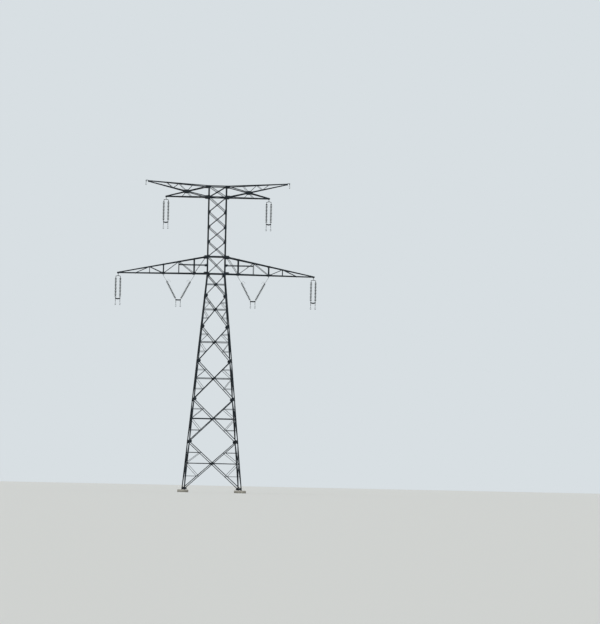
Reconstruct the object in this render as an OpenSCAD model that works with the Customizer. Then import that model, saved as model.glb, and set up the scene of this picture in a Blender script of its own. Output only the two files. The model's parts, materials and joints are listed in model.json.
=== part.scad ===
// Lattice transmission pylon: a square tapered body and a square mast carry a wide lower
// crossarm, a short upper crossarm and two peak arms for the earth wires. Millimetres, with X
// along the crossarms, Y along the line, Z up and the origin on the ground at the centre.

/* [Tower] */
// Width of the body at the ground, over the corners of its legs
base_w = 5820; // [5000:10:6600]
// Width of the mast, over the corners of its legs
mast_w = 1830; // [1600:10:2100]
// Height of the waist, where the tapered body ends and the mast begins
waist_z = 21770; // [19000:10:24000]
// Height of the short X panel right below the waist
head_panel_h = 2080; // [1600:10:2600]
// Number of X panels below the head panel
panel_count = 5; // [4:1:7]
// How much taller each panel is than the one above it
panel_growth = 1.111; // [1.02:0.001:1.2]
// Number of X bays of the mast between the two crossarms
mast_bays = 4; // [3:1:6]

/* [Footings] */
// Diameter of a concrete footing head
footing_d = 900; // [700:10:1200]
// Height of a footing head above the ground
footing_h = 260; // [180:10:320]
// Width of the sloped rim of a footing head
footing_rim = 50; // [20:5:90]

/* [Steel angles] */
// Flange width of the body legs
leg_b = 110; // [100:5:140]
// Thickness of the body legs
leg_t = 10; // [8:1:14]
// Flange width of the mast legs
mast_leg_b = 85; // [80:5:110]
// Thickness of the mast legs
mast_leg_t = 9; // [7:1:14]
// Flange width of the body diagonals
diagonal_b = 75; // [60:5:95]
// Flange width of the mast diagonals
mast_diagonal_b = 65; // [50:5:80]
// Flange width of the horizontal struts
strut_b = 65; // [50:5:80]
// Flange width of the ties across the mast at the crossarms
tie_b = 100; // [80:5:110]
// Flange width of the short stiffening bars
redundant_b = 40; // [30:5:55]
// Thickness of the bracing bars
brace_t = 5; // [4:1:8]
// Thickness of the gusset plates
gusset_t = 8; // [6:1:12]
// Width of the gusset plates at the body legs, from the corner inwards
leg_gusset_w = 300; // [240:10:360]
// Height of the gusset plates at the body legs
leg_gusset_h = 380; // [300:10:460]
// Width of the gusset plates at the mast legs, from the corner inwards
mast_gusset_w = 220; // [180:10:260]
// Height of the gusset plates at the mast legs
mast_gusset_h = 300; // [240:10:360]

/* [Lower crossarm] */
// Reach of the lower crossarm from the axis to its tip
lower_reach = 9870; // [9000:5:11000]
// Height between the chord lines at the mast
lower_arm_h = 1710; // [1400:10:2000]
// How much lower the tip's bottom chord is than its root
lower_droop = 95; // [20:5:120]
// Distance from the axis to the inner hanger of the V string
v_inner_x = 2200; // [2000:10:2500]
// Distance from the axis to the outer hanger of the V string
v_outer_x = 5260; // [4900:10:5600]
// Flange width of the bottom chords
chord_b = 110; // [90:5:120]
// Flange width of the sloped top chords
top_chord_b = 100; // [85:5:110]
// Thickness of the crossarm chords
chord_t = 8; // [6:1:12]
// Flange width of the posts over the V string hangers
post_b = 100; // [60:5:110]
// Flange width of the crossarm web bars
web_b = 50; // [40:5:70]

/* [Upper crossarm and peaks] */
// Height between the two crossarms, from chord line to chord line
arm_gap = 5950; // [5000:10:7000]
// Reach of the upper crossarm from the axis to its tip
upper_reach = 5220; // [4700:5:5600]
// Height between the chord lines at the mast
upper_arm_h = 1095; // [900:5:1250]
// How much lower the tip's bottom chord is than its root
upper_droop = 25; // [10:5:50]
// Reach of the earth wire peaks from the axis
peak_reach = 6990; // [6400:5:7600]
// Rise of the peak tips above the top of the mast
peak_rise = 410; // [300:5:600]
// Flange width of the chords of the upper crossarm and peaks
upper_chord_b = 90; // [75:5:100]
// Flange width of the light web bars of the peaks
light_web_b = 40; // [30:5:50]
// Width of the gusset plate where the chords of crossarm and peak cross
cross_gusset_w = 500; // [400:10:600]
// Height of that gusset plate
cross_gusset_h = 320; // [240:10:380]

/* [Hangers and yokes] */
// Diameter of the holes in the hanger plates
eye_d = 30; // [26:1:34]
// Thickness of the hanger plates
plate_t = 14; // [10:1:18]
// Drop of the hangers' eyes below the waist, over the V strings
v_eye_drop = 110; // [100:5:160]
// Drop of the eyes below the crossarm tips
tip_eye_drop = 55; // [50:5:80]
// Thickness of the yoke plates
yoke_t = 16; // [12:1:20]
// Height of the top yoke's band
top_yoke_h = 60; // [50:5:70]
// Height of the bottom yoke's band
bottom_yoke_h = 125; // [90:5:130]
// Diameter of the arcing horns
horn_d = 16; // [12:1:20]

/* [Insulator strings] */
// Diameter of a glass disc
disc_d = 255; // [220:5:280]
// Height of one disc unit, from socket to ball
disc_pitch = 146; // [130:2:170]
// Discs in each string of a double suspension set
i_discs = 13; // [11:1:14]
// Discs in each leg of a V string
v_discs = 13; // [12:1:14]
// Distance between the two strings of a double set, and between the two clamps
twin_gap = 450; // [380:10:520]
// Drop from a V string's hangers to the middle of its yoke
v_drop = 2470; // [2300:10:2700]

/* [Suspension clamps] */
// Length of a clamp along the line
clamp_l = 240; // [200:10:280]
// Length of its straight groove
groove_l = 120; // [100:5:140]
// Diameter of the groove that holds the conductor
groove_d = 32; // [26:2:34]
// Drop from a yoke's pin to the groove
clamp_drop = 620; // [560:10:700]

/* [Hidden] */
steel = "slategray";
concrete = "lightgray";
glass = "darkseagreen";

// Gap left between bolted faces of neighbouring pieces
seat = 0.2;
// Lap of a bar past its node, and clear space in a corner beside the other face's bars
lap = 10;
// Drive of the tapered body
slope = (base_w - mast_w) / 2 / waist_z;
stretch = sqrt(1 + slope * slope);
foot_node_z = footing_h + 90;
top_node_z = waist_z - chord_b / 2;
head_z = top_node_z - head_panel_h;
// Height of the tallest panel and of each level between panels
growth_sum = (pow(panel_growth, panel_count) - 1) / (panel_growth - 1);
first_panel_h = (head_z - foot_node_z) / growth_sum;
function round5(x) = round(x / 5) * 5;
function panels_above(i) = (pow(panel_growth, panel_count - i) - 1) / (panel_growth - 1);
function level(i) = i > panel_count ? top_node_z : round5(head_z - first_panel_h * panels_above(i));
function half_w(z) = base_w / 2 - slope * z;
// Heights in the mast, measured up from the waist
lower_bottom_v = chord_b / 2;
lower_top_v = lower_bottom_v + lower_arm_h;
upper_bottom_v = lower_top_v + arm_gap;
upper_top_v = upper_bottom_v + upper_arm_h;
mast_h = upper_top_v + chord_b / 2;
// Plan angle of the crossarms' sides, which close in towards the tips
tip_gap = 12;
lower_tip_half = chord_b + tip_gap;
peak_tip_half = upper_chord_b + tip_gap;
lower_plan_a = atan((mast_w / 2 - lower_tip_half) / (lower_reach - mast_w / 2));
upper_plan_a = atan((mast_w / 2 - peak_tip_half) / (peak_reach - mast_w / 2));
upper_z = waist_z + upper_bottom_v - upper_chord_b / 2;
// Height between the chord lines at the tips
lower_tip_depth = 14;
upper_tip_depth = 6;
peak_depth = 50;

// A bar of a lattice: its ends, flange width, the edge its outstanding flange is on (1, -1 or
// 0 for a plain flat), the lap past each end and how far short of each end that flange stops
function bar(p, q, b, edge = 1, laps = [lap, lap], cuts = [0, 0]) = [p, q, b, edge, laps, cuts];
function cut_at_leg(p, q, b, leg, inset) =
    let (d = (q - p) / norm(q - p))
    (leg - inset + 8 + b / 2 * abs(d.y)) / abs(d.x);

module along(p, q) {
    d = q - p;
    translate([p.x, p.y, 0])
        rotate([0, 0, atan2(d.y, d.x)])
            children();
}

module flange_2d(v) {
    d = v[1] - v[0];
    translate(v[0])
        rotate(atan2(d.y, d.x))
            translate([-v[4][0], -v[2] / 2])
                square([norm(d) + v[4][0] + v[4][1], v[2]]);
}

// The flat flanges of all bars lie in one layer, from z = 0 down to -t, and the outstanding
// flanges stand on it, down to -b
module lattice(bars, t) {
    translate([0, 0, -t])
        linear_extrude(t)
            for (v = bars) flange_2d(v);
    for (v = bars)
        if (v[3] != 0)
            along(v[0], v[1])
                translate([v[5][0], v[3] > 0 ? v[2] / 2 - t : -v[2] / 2, -v[2]])
                    cube([norm(v[1] - v[0]) - v[5][0] - v[5][1], t, v[2]]);
}

// An eight-cornered gusset plate centred on a node
module gusset(c, w, h, t) {
    k = min(w, h) * 0.22;
    translate([c.x, c.y, -t])
        linear_extrude(t)
            polygon([
                [-w / 2 + k, -h / 2], [w / 2 - k, -h / 2], [w / 2, -h / 2 + k], [w / 2, h / 2 - k],
                [w / 2 - k, h / 2], [-w / 2 + k, h / 2], [-w / 2, h / 2 - k], [-w / 2, -h / 2 + k]
            ]);
}

// A gusset plate along a leg, from g0 to w off the corner line, which leans by lean for each
// millimetre of height. It reaches up and down from the node at height y.
module leg_gusset(side, corner_x, y, g0, b, w, up, down, lean, t) {
    function at(d, v) = [side * (corner_x - lean * v - d), y + v];
    translate([0, 0, -t])
        linear_extrude(t)
            polygon([
                at(g0, -down), at(b, -down), at(w, -down * 0.45), at(w, up * 0.45), at(b, up), at(g0, up)
            ]);
}

// Mirrors what is drawn in the front left corner into the corner sx, sy
module corner(sx, sy) {
    mirror([sx < 0 ? 0 : 1, 0, 0])
        mirror([0, sy < 0 ? 0 : 1, 0])
            children();
}

// Footings

module footing(sx, sy) {
    color(concrete)
        corner(sx, sy)
            difference() {
                translate([-base_w / 2 + leg_b / 2, -base_w / 2 + leg_b / 2, 0]) {
                    cylinder(d = footing_d, h = footing_h - footing_rim, $fn = 96);
                    translate([0, 0, footing_h - footing_rim])
                        cylinder(d1 = footing_d, d2 = footing_d - 2 * footing_rim, h = footing_rim, $fn = 96);
                }
                leg_frame()
                    translate([0, 0, stub_start - seat])
                        linear_extrude(footing_h * 2)
                            angle_profile(leg_b, leg_t, seat);
            }
}

// Legs

stub_start = 40;
leg_dir = [slope, slope, 1] / sqrt(1 + 2 * slope * slope);
leg_across = [1 + slope * slope, -slope * slope, -slope];
leg_a = leg_across / norm(leg_across);
leg_c = cross(leg_dir, leg_a);
leg_corner_a = acos(-slope * slope / (1 + slope * slope));
leg_length = waist_z * sqrt(1 + 2 * slope * slope);

// The frame of the front left leg: X along its front flange, Z up its corner line
module leg_frame() {
    multmatrix([
        [leg_a.x, leg_c.x, leg_dir.x, -base_w / 2],
        [leg_a.y, leg_c.y, leg_dir.y, -base_w / 2],
        [leg_a.z, leg_c.z, leg_dir.z, 0]
    ])
        children();
}

// An angle with its corner at the origin, opened to the angle between two faces of the body
module angle_profile(b, t, grow = 0) {
    u = [cos(leg_corner_a), sin(leg_corner_a)];
    k = 1 / sin(leg_corner_a);
    o = -grow * k * ([1, 0] + u);
    i = (t + grow) * k * ([1, 0] + u);
    polygon([
        o, [b + grow, o.y], [b + grow, i.y], i,
        (b + grow) * u + [i.x, 0], (b + grow) * u + [o.x, 0]
    ]);
}

module leg(sx, sy) {
    color(steel)
        corner(sx, sy)
            leg_frame()
                translate([0, 0, stub_start])
                    linear_extrude(leg_length - stub_start)
                        angle_profile(leg_b, leg_t);
}

module mast_leg(sx, sy) {
    color(steel)
        corner(sx, sy)
            translate([-mast_w / 2, -mast_w / 2, waist_z + seat])
                linear_extrude(mast_h - seat)
                    polygon([
                        [0, 0], [mast_leg_b, 0], [mast_leg_b, mast_leg_t],
                        [mast_leg_t, mast_leg_t], [mast_leg_t, mast_leg_b], [0, mast_leg_b]
                    ]);
}

// Faces of the body and the mast

// Room under the lowest nodes, above the footing heads
foot_clear = 75;
function body_point(side, z) = [side * (half_w(z) - leg_b / 2), z * stretch];

module body_face(k) {
    rotate([0, 0, 90 * k])
        translate([0, -base_w / 2, 0])
            rotate([atan2(1, slope), 0, 0])
                translate([0, 0, -leg_t - seat])
                    children();
}

function leg_bar(p, q, b, edge) =
    let (c = cut_at_leg(p, q, b, leg_b, leg_b / 2))
    bar(p, q, b, edge, [lap, lap], [c, c]);

// A stiffening bar from the leg to the middle of a diagonal's half
stub_clear = 110;
function stub_bar(p, q, edge) =
    bar(p, q, redundant_b, edge, [lap, 0],
        [cut_at_leg(p, q, redundant_b, leg_b, leg_b / 2), stub_clear]);

function panel_bars(i) =
    let (z0 = level(i), z1 = level(i + 1), zc = z0 + (z1 - z0) * half_w(z0) / (half_w(z0) + half_w(z1)))
    let (centre = [0, zc * stretch])
    concat(
        [
            leg_bar(body_point(-1, z0), body_point(1, z1), diagonal_b, 1),
            leg_bar(body_point(1, z0), body_point(-1, z1), diagonal_b, 1),
            leg_bar(body_point(-1, zc), body_point(1, zc), strut_b, 1)
        ],
        i == panel_count ? [] : [
            for (side = [-1, 1], z = [z0, z1])
                let (mid = (body_point(side, z) + centre) / 2)
                each [
                    stub_bar(body_point(side, mid.y / stretch), mid, 1),
                    stub_bar(body_point(side, zc), mid, 1)
                ]
        ]
    );

// Clear space in a corner for the other face's plates
corner_clear = 2 * seat + brace_t + gusset_t + 4;

module body_lattice(k) {
    h = leg_gusset_h / 2;
    color(steel)
        body_face(k) {
            lattice([for (i = [0 : panel_count]) each panel_bars(i)], brace_t);
            for (i = [0 : panel_count + 1], side = [-1, 1])
                leg_gusset(side, half_w(level(i)), level(i) * stretch, leg_t + corner_clear, leg_b,
                    leg_gusset_w, i > panel_count ? chord_b / 2 - 10 : h, i == 0 ? foot_clear : h,
                    slope / stretch, brace_t + gusset_t);
            for (i = [0 : panel_count]) {
                z0 = level(i);
                z1 = level(i + 1);
                zc = z0 + (z1 - z0) * half_w(z0) / (half_w(z0) + half_w(z1));
                gusset([0, zc * stretch], 3.6 * diagonal_b, 3.1 * diagonal_b, brace_t + gusset_t);
            }
        }
}

mast_levels = concat(
    [lower_bottom_v],
    [for (i = [0 : mast_bays]) lower_top_v + i * arm_gap / mast_bays],
    [upper_top_v]
);
mast_half = mast_w / 2 - mast_leg_b / 2;

module mast_face(k) {
    rotate([0, 0, 90 * k])
        translate([0, -mast_w / 2, waist_z])
            rotate([90, 0, 0])
                translate([0, 0, -mast_leg_t - seat])
                    children();
}

function mast_bar(p, q, b) =
    let (c = cut_at_leg(p, q, b, mast_leg_b, mast_leg_b / 2))
    bar(p, q, b, 1, [lap, lap], [c, c]);

// A tie across the mast. Its outstanding flange stops short of the other face's.
function mast_tie(v) =
    let (c = tie_b + mast_leg_t + 4 - mast_leg_b / 2)
    bar([-mast_half, v], [mast_half, v], tie_b, 1, [lap, lap], [c, c]);

module mast_lattice(k) {
    color(steel)
        mast_face(k) {
            lattice(
                concat(
                    [for (v = [lower_bottom_v, lower_top_v, upper_bottom_v, upper_top_v]) mast_tie(v)],
                    [for (i = [0 : mast_bays + 1], s = [-1, 1])
                        mast_bar([-s * mast_half, mast_levels[i]], [s * mast_half, mast_levels[i + 1]],
                            mast_diagonal_b)]
                ),
                brace_t
            );
            for (i = [0 : mast_bays + 1])
                gusset([0, (mast_levels[i] + mast_levels[i + 1]) / 2], 2 * mast_diagonal_b,
                    2 * mast_diagonal_b, brace_t + gusset_t);
            for (i = [0 : mast_bays + 2], side = [-1, 1])
                leg_gusset(side, mast_w / 2, mast_levels[i], mast_leg_t + corner_clear, mast_leg_b,
                    mast_gusset_w, i > mast_bays + 1 ? chord_b / 2 - 5 : mast_gusset_h / 2,
                    i == 0 ? chord_b / 2 - 5 : mast_gusset_h / 2, 0, brace_t + gusset_t);
        }
}

// Horizontal frames inside the tower, each a diamond between the struts of the four faces

module diaphragm(z, inner, b, offset) {
    e = inner - b / 2;
    translate([0, 0, z])
        for (k = [0 : 3])
            rotate([0, 0, 90 * k])
                translate([0, 0, brace_t])
                    lattice([bar([offset, -e], [e, -offset], redundant_b, 1, [0, 0], [60, 60])], brace_t);
}

module plan_bracing() {
    color(steel) {
        for (i = [0 : 1]) {
            z0 = level(i);
            z1 = level(i + 1);
            zc = z0 + (z1 - z0) * half_w(z0) / (half_w(z0) + half_w(z1));
            diaphragm(zc + strut_b / 2 + 2, half_w(zc) - leg_t - brace_t, strut_b, 200);
        }
        for (v = [lower_bottom_v, lower_top_v, upper_bottom_v])
            diaphragm(waist_z + v + tie_b / 2 + seat, mast_w / 2 - mast_leg_t - brace_t, tie_b, 150);
    }
}

// Crossarms

// The frame of a crossarm's side: X outwards along its chords, Y up, Z out of the arm
module arm_side(sx, sy, z, plan_a) {
    mirror([sx < 0 ? 1 : 0, 0, 0])
        mirror([0, sy < 0 ? 0 : 1, 0])
            translate([mast_w / 2, -mast_w / 2, z])
                rotate([0, 0, plan_a])
                    rotate([90, 0, 0])
                        children();
}

// A chord lies in the outer layer with its inward flange along one edge
module chord(p, q, b, t, edge, start = 0) {
    lattice([bar(p, q, b, edge, [0, 0], [start, 0])], t);
}

// A plate from height v0 to v1, bent to the plan angle, which bolts the chord to the outside of
// the mast leg
module root_plate(v0, v1, reach, plan_a, inner = 3) {
    c = cos(plan_a);
    s = sin(plan_a);
    translate([0, v0, 0])
        rotate([-90, 0, 0])
            linear_extrude(v1 - v0)
                polygon([
                    [inner, inner], [reach, inner], [reach, -gusset_t], [0, -gusset_t - seat],
                    [-mast_leg_b * c, -gusset_t - seat - mast_leg_b * s],
                    [-mast_leg_b * c, -seat - mast_leg_b * s], [0, -seat]
                ]);
}

module webs(bars, t) {
    translate([0, 0, -chord_t])
        lattice(bars, t);
}

lower_run = lower_reach - mast_w / 2;
lower_u = lower_run / cos(lower_plan_a);
lower_droop_a = atan(lower_droop / lower_run);
lower_top_a = atan((lower_arm_h + lower_droop - lower_tip_depth) / lower_run);
function lower_bottom(u) = lower_bottom_v - lower_droop * u / lower_u;
function lower_top(u) = lower_top_v - (lower_arm_h + lower_droop - lower_tip_depth) * u / lower_u;
// Web nodes along the arm: the V hangers and the points between and beyond them
lower_x = [
    v_inner_x, (v_inner_x + v_outer_x) / 2, v_outer_x,
    v_outer_x + 0.3 * (lower_reach - v_outer_x), v_outer_x + 0.61 * (lower_reach - v_outer_x)
];
lower_nodes = [for (x = lower_x) (x - mast_w / 2) / cos(lower_plan_a)];
root_gap = 4;
root_lower = chord_b * tan(lower_plan_a) + root_gap;
root_upper = upper_chord_b * tan(upper_plan_a) + root_gap;
// First web node of a crossarm and the reach of the plates at its root
root_u = 130;
root_reach = 330;
mid_reach = 200;
tip_plate_l = 260;

function web(p, q, b, edge) = bar(p, q, b, edge, [lap, lap], [chord_b, chord_b]);

module lower_side(sx, sy) {
    n = lower_nodes;
    mid_v = lower_top_v / 2 + lower_bottom_v / 2;
    low = [for (u = n) [u, lower_bottom(u)]];
    high = [for (u = n) [u, lower_top(u)]];
    color(steel)
        arm_side(sx, sy, waist_z, lower_plan_a) {
            chord([root_lower, lower_bottom(root_lower)], [lower_u, lower_bottom(lower_u)], chord_b,
                chord_t, -1);
            chord([root_lower, lower_top(root_lower)], [lower_u, lower_top(lower_u)], top_chord_b,
                chord_t, 1);
            root_plate(seat, lower_bottom_v + 1.5 * chord_b, root_reach, lower_plan_a);
            root_plate(lower_top(root_u) - 1.4 * top_chord_b, lower_top(root_u) + 1.2 * top_chord_b,
                root_reach, lower_plan_a);
            root_plate(mid_v - 80, mid_v + 80, mid_reach, lower_plan_a, chord_t + 2);
            webs([
                web([root_u, lower_top(root_u)], low[0], web_b, 1),
                web(low[0], high[0], post_b, -1),
                web(low[0], high[1], web_b, 1),
                web(low[1], high[1], web_b, -1),
                web(high[1], low[2], web_b, 1),
                web(low[2], high[2], post_b, -1),
                web(low[2], high[3], web_b, 1),
                web(low[3], high[3], web_b, -1),
                web(high[3], low[4], web_b, 1),
                bar([root_u, mid_v], [n[1], mid_v], strut_b, 1)
            ], brace_t);
            for (i = [0, 2]) {
                gusset(low[i] + [0, 20], 320, 200, chord_t + gusset_t);
                gusset(high[i] - [0, 15], 220, 150, chord_t + gusset_t);
            }
            gusset([lower_u - tip_plate_l / 2 + lap, lower_bottom(lower_u) + 12], tip_plate_l,
                chord_b + lower_tip_depth, chord_t + gusset_t);
        }
}

function lower_half(x) = mast_w / 2 - (x - mast_w / 2) * tan(lower_plan_a);
function upper_half(x) = mast_w / 2 - (x - mast_w / 2) * tan(upper_plan_a);

// A zigzag between the front and back chords, seen in plan, with a strut at each point. It lies
// on the chords with its outstanding flanges upwards.
module plan_zigzag(xs, halves, b) {
    n = len(xs);
    stop = 40;
    short = 7;
    mirror([0, 0, 1])
        lattice(concat(
            [for (i = [1 : n - 1])
                bar([xs[i], -halves[i]], [xs[i], halves[i]], b, 1, [0, 0], [stop, stop])],
            [for (i = [0 : n - 2])
                let (s = i % 2 == 0 ? 1 : -1)
                bar([xs[i], -s * halves[i]], [xs[i + 1], s * halves[i + 1]], b, 1, [-short, -short],
                    [2 * stop, 2 * stop])]
        ), brace_t);
}

// The frame of a plane through the crossarm's root at height z, leaning down by a. X starts at
// the mast's side.
module arm_plane(z, a) {
    translate([mast_w / 2, 0, z])
        rotate([0, a, 0])
            children();
}

// Struts from side to side under the inward flanges of the top chords
module cross_struts(xs, halves, b) {
    stop = 40;
    for (i = [0 : len(xs) - 1])
        lattice([bar([xs[i], -halves[i]], [xs[i], halves[i]], b, 1, [0, 0], [stop, stop])], brace_t);
}

// A hanger plate with an eye, its eye at the origin and its top edge at height up
module hanger(up, w) {
    rotate([90, 0, 0])
        translate([0, 0, -plate_t / 2])
            difference() {
                linear_extrude(plate_t)
                    union() {
                        circle(d = 2.6 * eye_d, $fn = 48);
                        polygon([[-1.3 * eye_d, 0], [1.3 * eye_d, 0], [w / 2, up], [-w / 2, up]]);
                    }
                translate([0, 0, -1])
                    cylinder(d = eye_d, h = plate_t + 2, $fn = 48);
            }
}

// Where the strings hang
i_lower_x = lower_reach - 110;
i_upper_x = upper_reach - 80;
v_eye_z = waist_z - v_eye_drop;
i_lower_z = waist_z - lower_droop * (i_lower_x - mast_w / 2) / lower_run - tip_eye_drop;
i_upper_z = upper_z - upper_droop * (i_upper_x - mast_w / 2) / (upper_reach - mast_w / 2) - tip_eye_drop;
// Room between the flanges of neighbouring planes where they twist against each other
twist = 2.5;
side_inset = chord_t + gusset_t + web_b / 2 + 5;

// The plate under a crossarm's tip, from chord to chord
module tip_plate(reach, half_0, half_1, l) {
    translate([reach - l, 0, -gusset_t])
        linear_extrude(gusset_t - 2 * seat)
            polygon([[0, -half_0], [l, -half_1], [l, half_1], [0, half_0]]);
}

module lower_bracing(sx) {
    tip_l = 220;
    xs = concat([mast_w / 2 + 100], lower_x);
    tops = [lower_x[0], lower_x[1], lower_x[2], lower_x[3]];
    flange = (top_chord_b / 2 - chord_t) / cos(lower_top_a);
    color(steel)
        mirror([sx < 0 ? 1 : 0, 0, 0]) {
            arm_plane(waist_z, lower_droop_a) {
                translate([0, 0, chord_t + 2 * seat])
                    plan_zigzag([for (x = xs) x - mast_w / 2], [for (x = xs) lower_half(x) - side_inset],
                        web_b);
                tip_plate(lower_run, lower_half(lower_reach - tip_l), lower_half(lower_reach), tip_l);
            }
            arm_plane(waist_z + lower_top_v + flange - twist, lower_top_a)
                cross_struts([for (x = tops) (x - mast_w / 2) / cos(lower_top_a)],
                    [for (x = tops) lower_half(x) - side_inset], web_b);
            for (x = [v_inner_x, v_outer_x])
                translate([x, 0, v_eye_z])
                    rotate([0, 0, 90])
                        hanger(v_eye_drop + chord_t + 2 * seat + brace_t / 2
                            - lower_droop * (x - mast_w / 2) / lower_run, 160);
            translate([i_lower_x, 0, i_lower_z])
                hanger(tip_eye_drop - gusset_t / 2, 150);
        }
}

upper_run = upper_reach - mast_w / 2;
peak_run = peak_reach - mast_w / 2;
upper_u = upper_run / cos(upper_plan_a);
peak_u = peak_run / cos(upper_plan_a);
upper_b = upper_chord_b / 2;
upper_t = upper_b + upper_arm_h;
peak_v = upper_t + peak_rise;
peak_fall = upper_arm_h + upper_droop - upper_tip_depth;
function upper_bottom(u) = upper_b - upper_droop * u / upper_u;
function upper_top(u) = upper_t - peak_fall * u / upper_u;
function peak_top(u) = upper_t + peak_rise * u / peak_u;
function peak_bottom(u) = upper_b + (peak_v - peak_depth - upper_b) * u / peak_u;
// Where the upper crossarm's top chord crosses the peak's bottom chord
cross_u = upper_arm_h / (peak_fall / upper_u + (peak_v - peak_depth - upper_b) / peak_u);
// Web nodes of the peak beyond that crossing, on its top, bottom and top chord
peak_nodes = [for (k = [0.2, 0.35, 0.52]) cross_u + k * (peak_u - cross_u)];
// Start of the chords that end behind another chord's root
second_start = 220;
upper_root_reach = 300;

module upper_side(sx, sy) {
    n = peak_nodes;
    centre = [cross_u, upper_top(cross_u)];
    cuts = [upper_chord_b, upper_chord_b];
    color(steel)
        arm_side(sx, sy, upper_z, upper_plan_a) {
            chord([root_upper, upper_bottom(root_upper)], [upper_u, upper_bottom(upper_u)],
                upper_chord_b, chord_t, -1);
            chord([root_upper, upper_top(root_upper)], [upper_u, upper_top(upper_u)], upper_chord_b,
                chord_t, 1, second_start);
            chord([root_upper, peak_bottom(root_upper)], [peak_u, peak_bottom(peak_u)], upper_chord_b,
                chord_t, -1, second_start);
            chord([root_upper, peak_top(root_upper)], [peak_u, peak_v], upper_chord_b, chord_t, 1);
            root_plate(upper_b - 1.3 * upper_chord_b, upper_b + 1.6 * upper_chord_b, upper_root_reach,
                upper_plan_a);
            root_plate(upper_t - 1.5 * upper_chord_b, upper_t + upper_chord_b / 2, upper_root_reach,
                upper_plan_a);
            webs([
                for (v = [
                    [centre, [0.72 * cross_u, peak_top(0.72 * cross_u)]],
                    [centre, [n[0], peak_top(n[0])]],
                    [centre, [0.78 * cross_u, upper_bottom(0.78 * cross_u)]],
                    [centre, [1.22 * cross_u, upper_bottom(1.22 * cross_u)]],
                    [[n[0], peak_top(n[0])], [n[1], peak_bottom(n[1])]],
                    [[n[1], peak_bottom(n[1])], [n[2], peak_top(n[2])]]
                ])
                bar(v[0], v[1], light_web_b, 1, [0, 0], cuts)
            ], brace_t);
            gusset(centre, cross_gusset_w, cross_gusset_h, chord_t + gusset_t);
            gusset([upper_u - tip_plate_l / 2 + lap, upper_bottom(upper_u) + 8], tip_plate_l,
                upper_chord_b + upper_tip_depth, chord_t + gusset_t);
            gusset([peak_u - tip_plate_l * 0.6, peak_v - peak_depth - 12], 1.2 * tip_plate_l + lap,
                upper_chord_b + peak_depth, chord_t + gusset_t);
        }
}

// The bracket that carries an earth wire clamp: an arm above the peak's tip, bent down to an eye
bracket_l = 190;
bracket_drop = 65;
peak_eye = [peak_reach + bracket_l, 0, upper_z + peak_v - bracket_drop];

module bracket() {
    w = 1.3 * eye_d;
    arm_top = bracket_drop + upper_b + 40;
    arm_h = 52;
    inner = -bracket_l - 25;
    rotate([90, 0, 0])
        translate([0, 0, -plate_t / 2])
            difference() {
                linear_extrude(plate_t)
                    union() {
                        circle(d = 2 * w, $fn = 48);
                        polygon([
                            [w, 0], [w + 6, arm_top - 28], [w - 12, arm_top], [inner, arm_top],
                            [inner, 10], [inner + 34, 10], [inner + 52, arm_top - arm_h],
                            [-w - 30, arm_top - arm_h], [-w - 4, arm_top - arm_h - 26], [-w, 0]
                        ]);
                    }
                translate([0, 0, -1])
                    cylinder(d = eye_d, h = plate_t + 2, $fn = 48);
            }
}

module upper_bracing(sx) {
    tip_l = 200;
    end_y = upper_half(peak_reach) - chord_t - gusset_t - 2 * seat;
    xs = [
        mast_w / 2 + 100, mast_w / 2 + 0.4 * cross_u, mast_w / 2 + 0.85 * cross_u,
        mast_w / 2 + 1.3 * cross_u, upper_reach - strut_b
    ];
    tops = [for (u = [0.72 * cross_u, peak_nodes[0], peak_nodes[2]]) mast_w / 2 + u * cos(upper_plan_a)];
    flange = upper_b - chord_t;
    color(steel)
        mirror([sx < 0 ? 1 : 0, 0, 0]) {
            arm_plane(upper_z, atan(upper_droop / upper_run)) {
                translate([0, 0, chord_t + 2 * seat])
                    plan_zigzag([for (x = xs) x - mast_w / 2], [for (x = xs) upper_half(x) - side_inset],
                        web_b);
                tip_plate(upper_run, upper_half(upper_reach - tip_l), upper_half(upper_reach), tip_l);
            }
            arm_plane(upper_z + upper_t + flange - 2 * seat, -atan(peak_rise / peak_run))
                cross_struts([for (x = tops) x - mast_w / 2], [for (x = tops) upper_half(x) - side_inset],
                    web_b);
            translate([i_upper_x, 0, i_upper_z])
                hanger(tip_eye_drop - gusset_t / 2, 150);
            translate([peak_reach - 30, -end_y, peak_eye.z + 10])
                cube([plate_t, 2 * end_y, bracket_drop + flange - 14]);
            translate([peak_eye.x, 0, peak_eye.z])
                bracket();
        }
}

// Insulator strings and clamps, each drawn hanging from an eye at the origin

pin_d = eye_d - 4;
// A cylinder across Y through x, z, of length l centred on the plane Y = 0
module pin_y(x, z, d, l) {
    translate([x, 0, z])
        rotate([90, 0, 0])
            translate([0, 0, -l / 2])
                cylinder(d = d, h = l, $fn = 48);
}

// A shackle round the hanger plate: two cheeks, a pin with head and nut, and a bow below
module shackle() {
    cheek = 12;
    side_y = plate_t / 2 + 6;
    bolt_l = 2 * (side_y + cheek) + 24;
    pin_y(0, 0, pin_d, bolt_l);
    for (s = [-1, 1])
        translate([0, s * (side_y + cheek / 2), 0]) {
            rotate([90, 0, 0])
                translate([0, 0, -cheek / 2])
                    cylinder(d = 2.4 * pin_d, h = cheek, $fn = 48);
            translate([0, s * (cheek / 2 + 4), 0])
                rotate([90, 0, 0])
                    translate([0, 0, -5])
                        cylinder(d = 1.7 * pin_d, h = 10, $fn = 6);
            translate([-16, -cheek / 2, -75])
                cube([32, cheek, 75]);
        }
    translate([-16, -side_y - cheek, -90])
        cube([32, 2 * (side_y + cheek), 25]);
}

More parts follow.
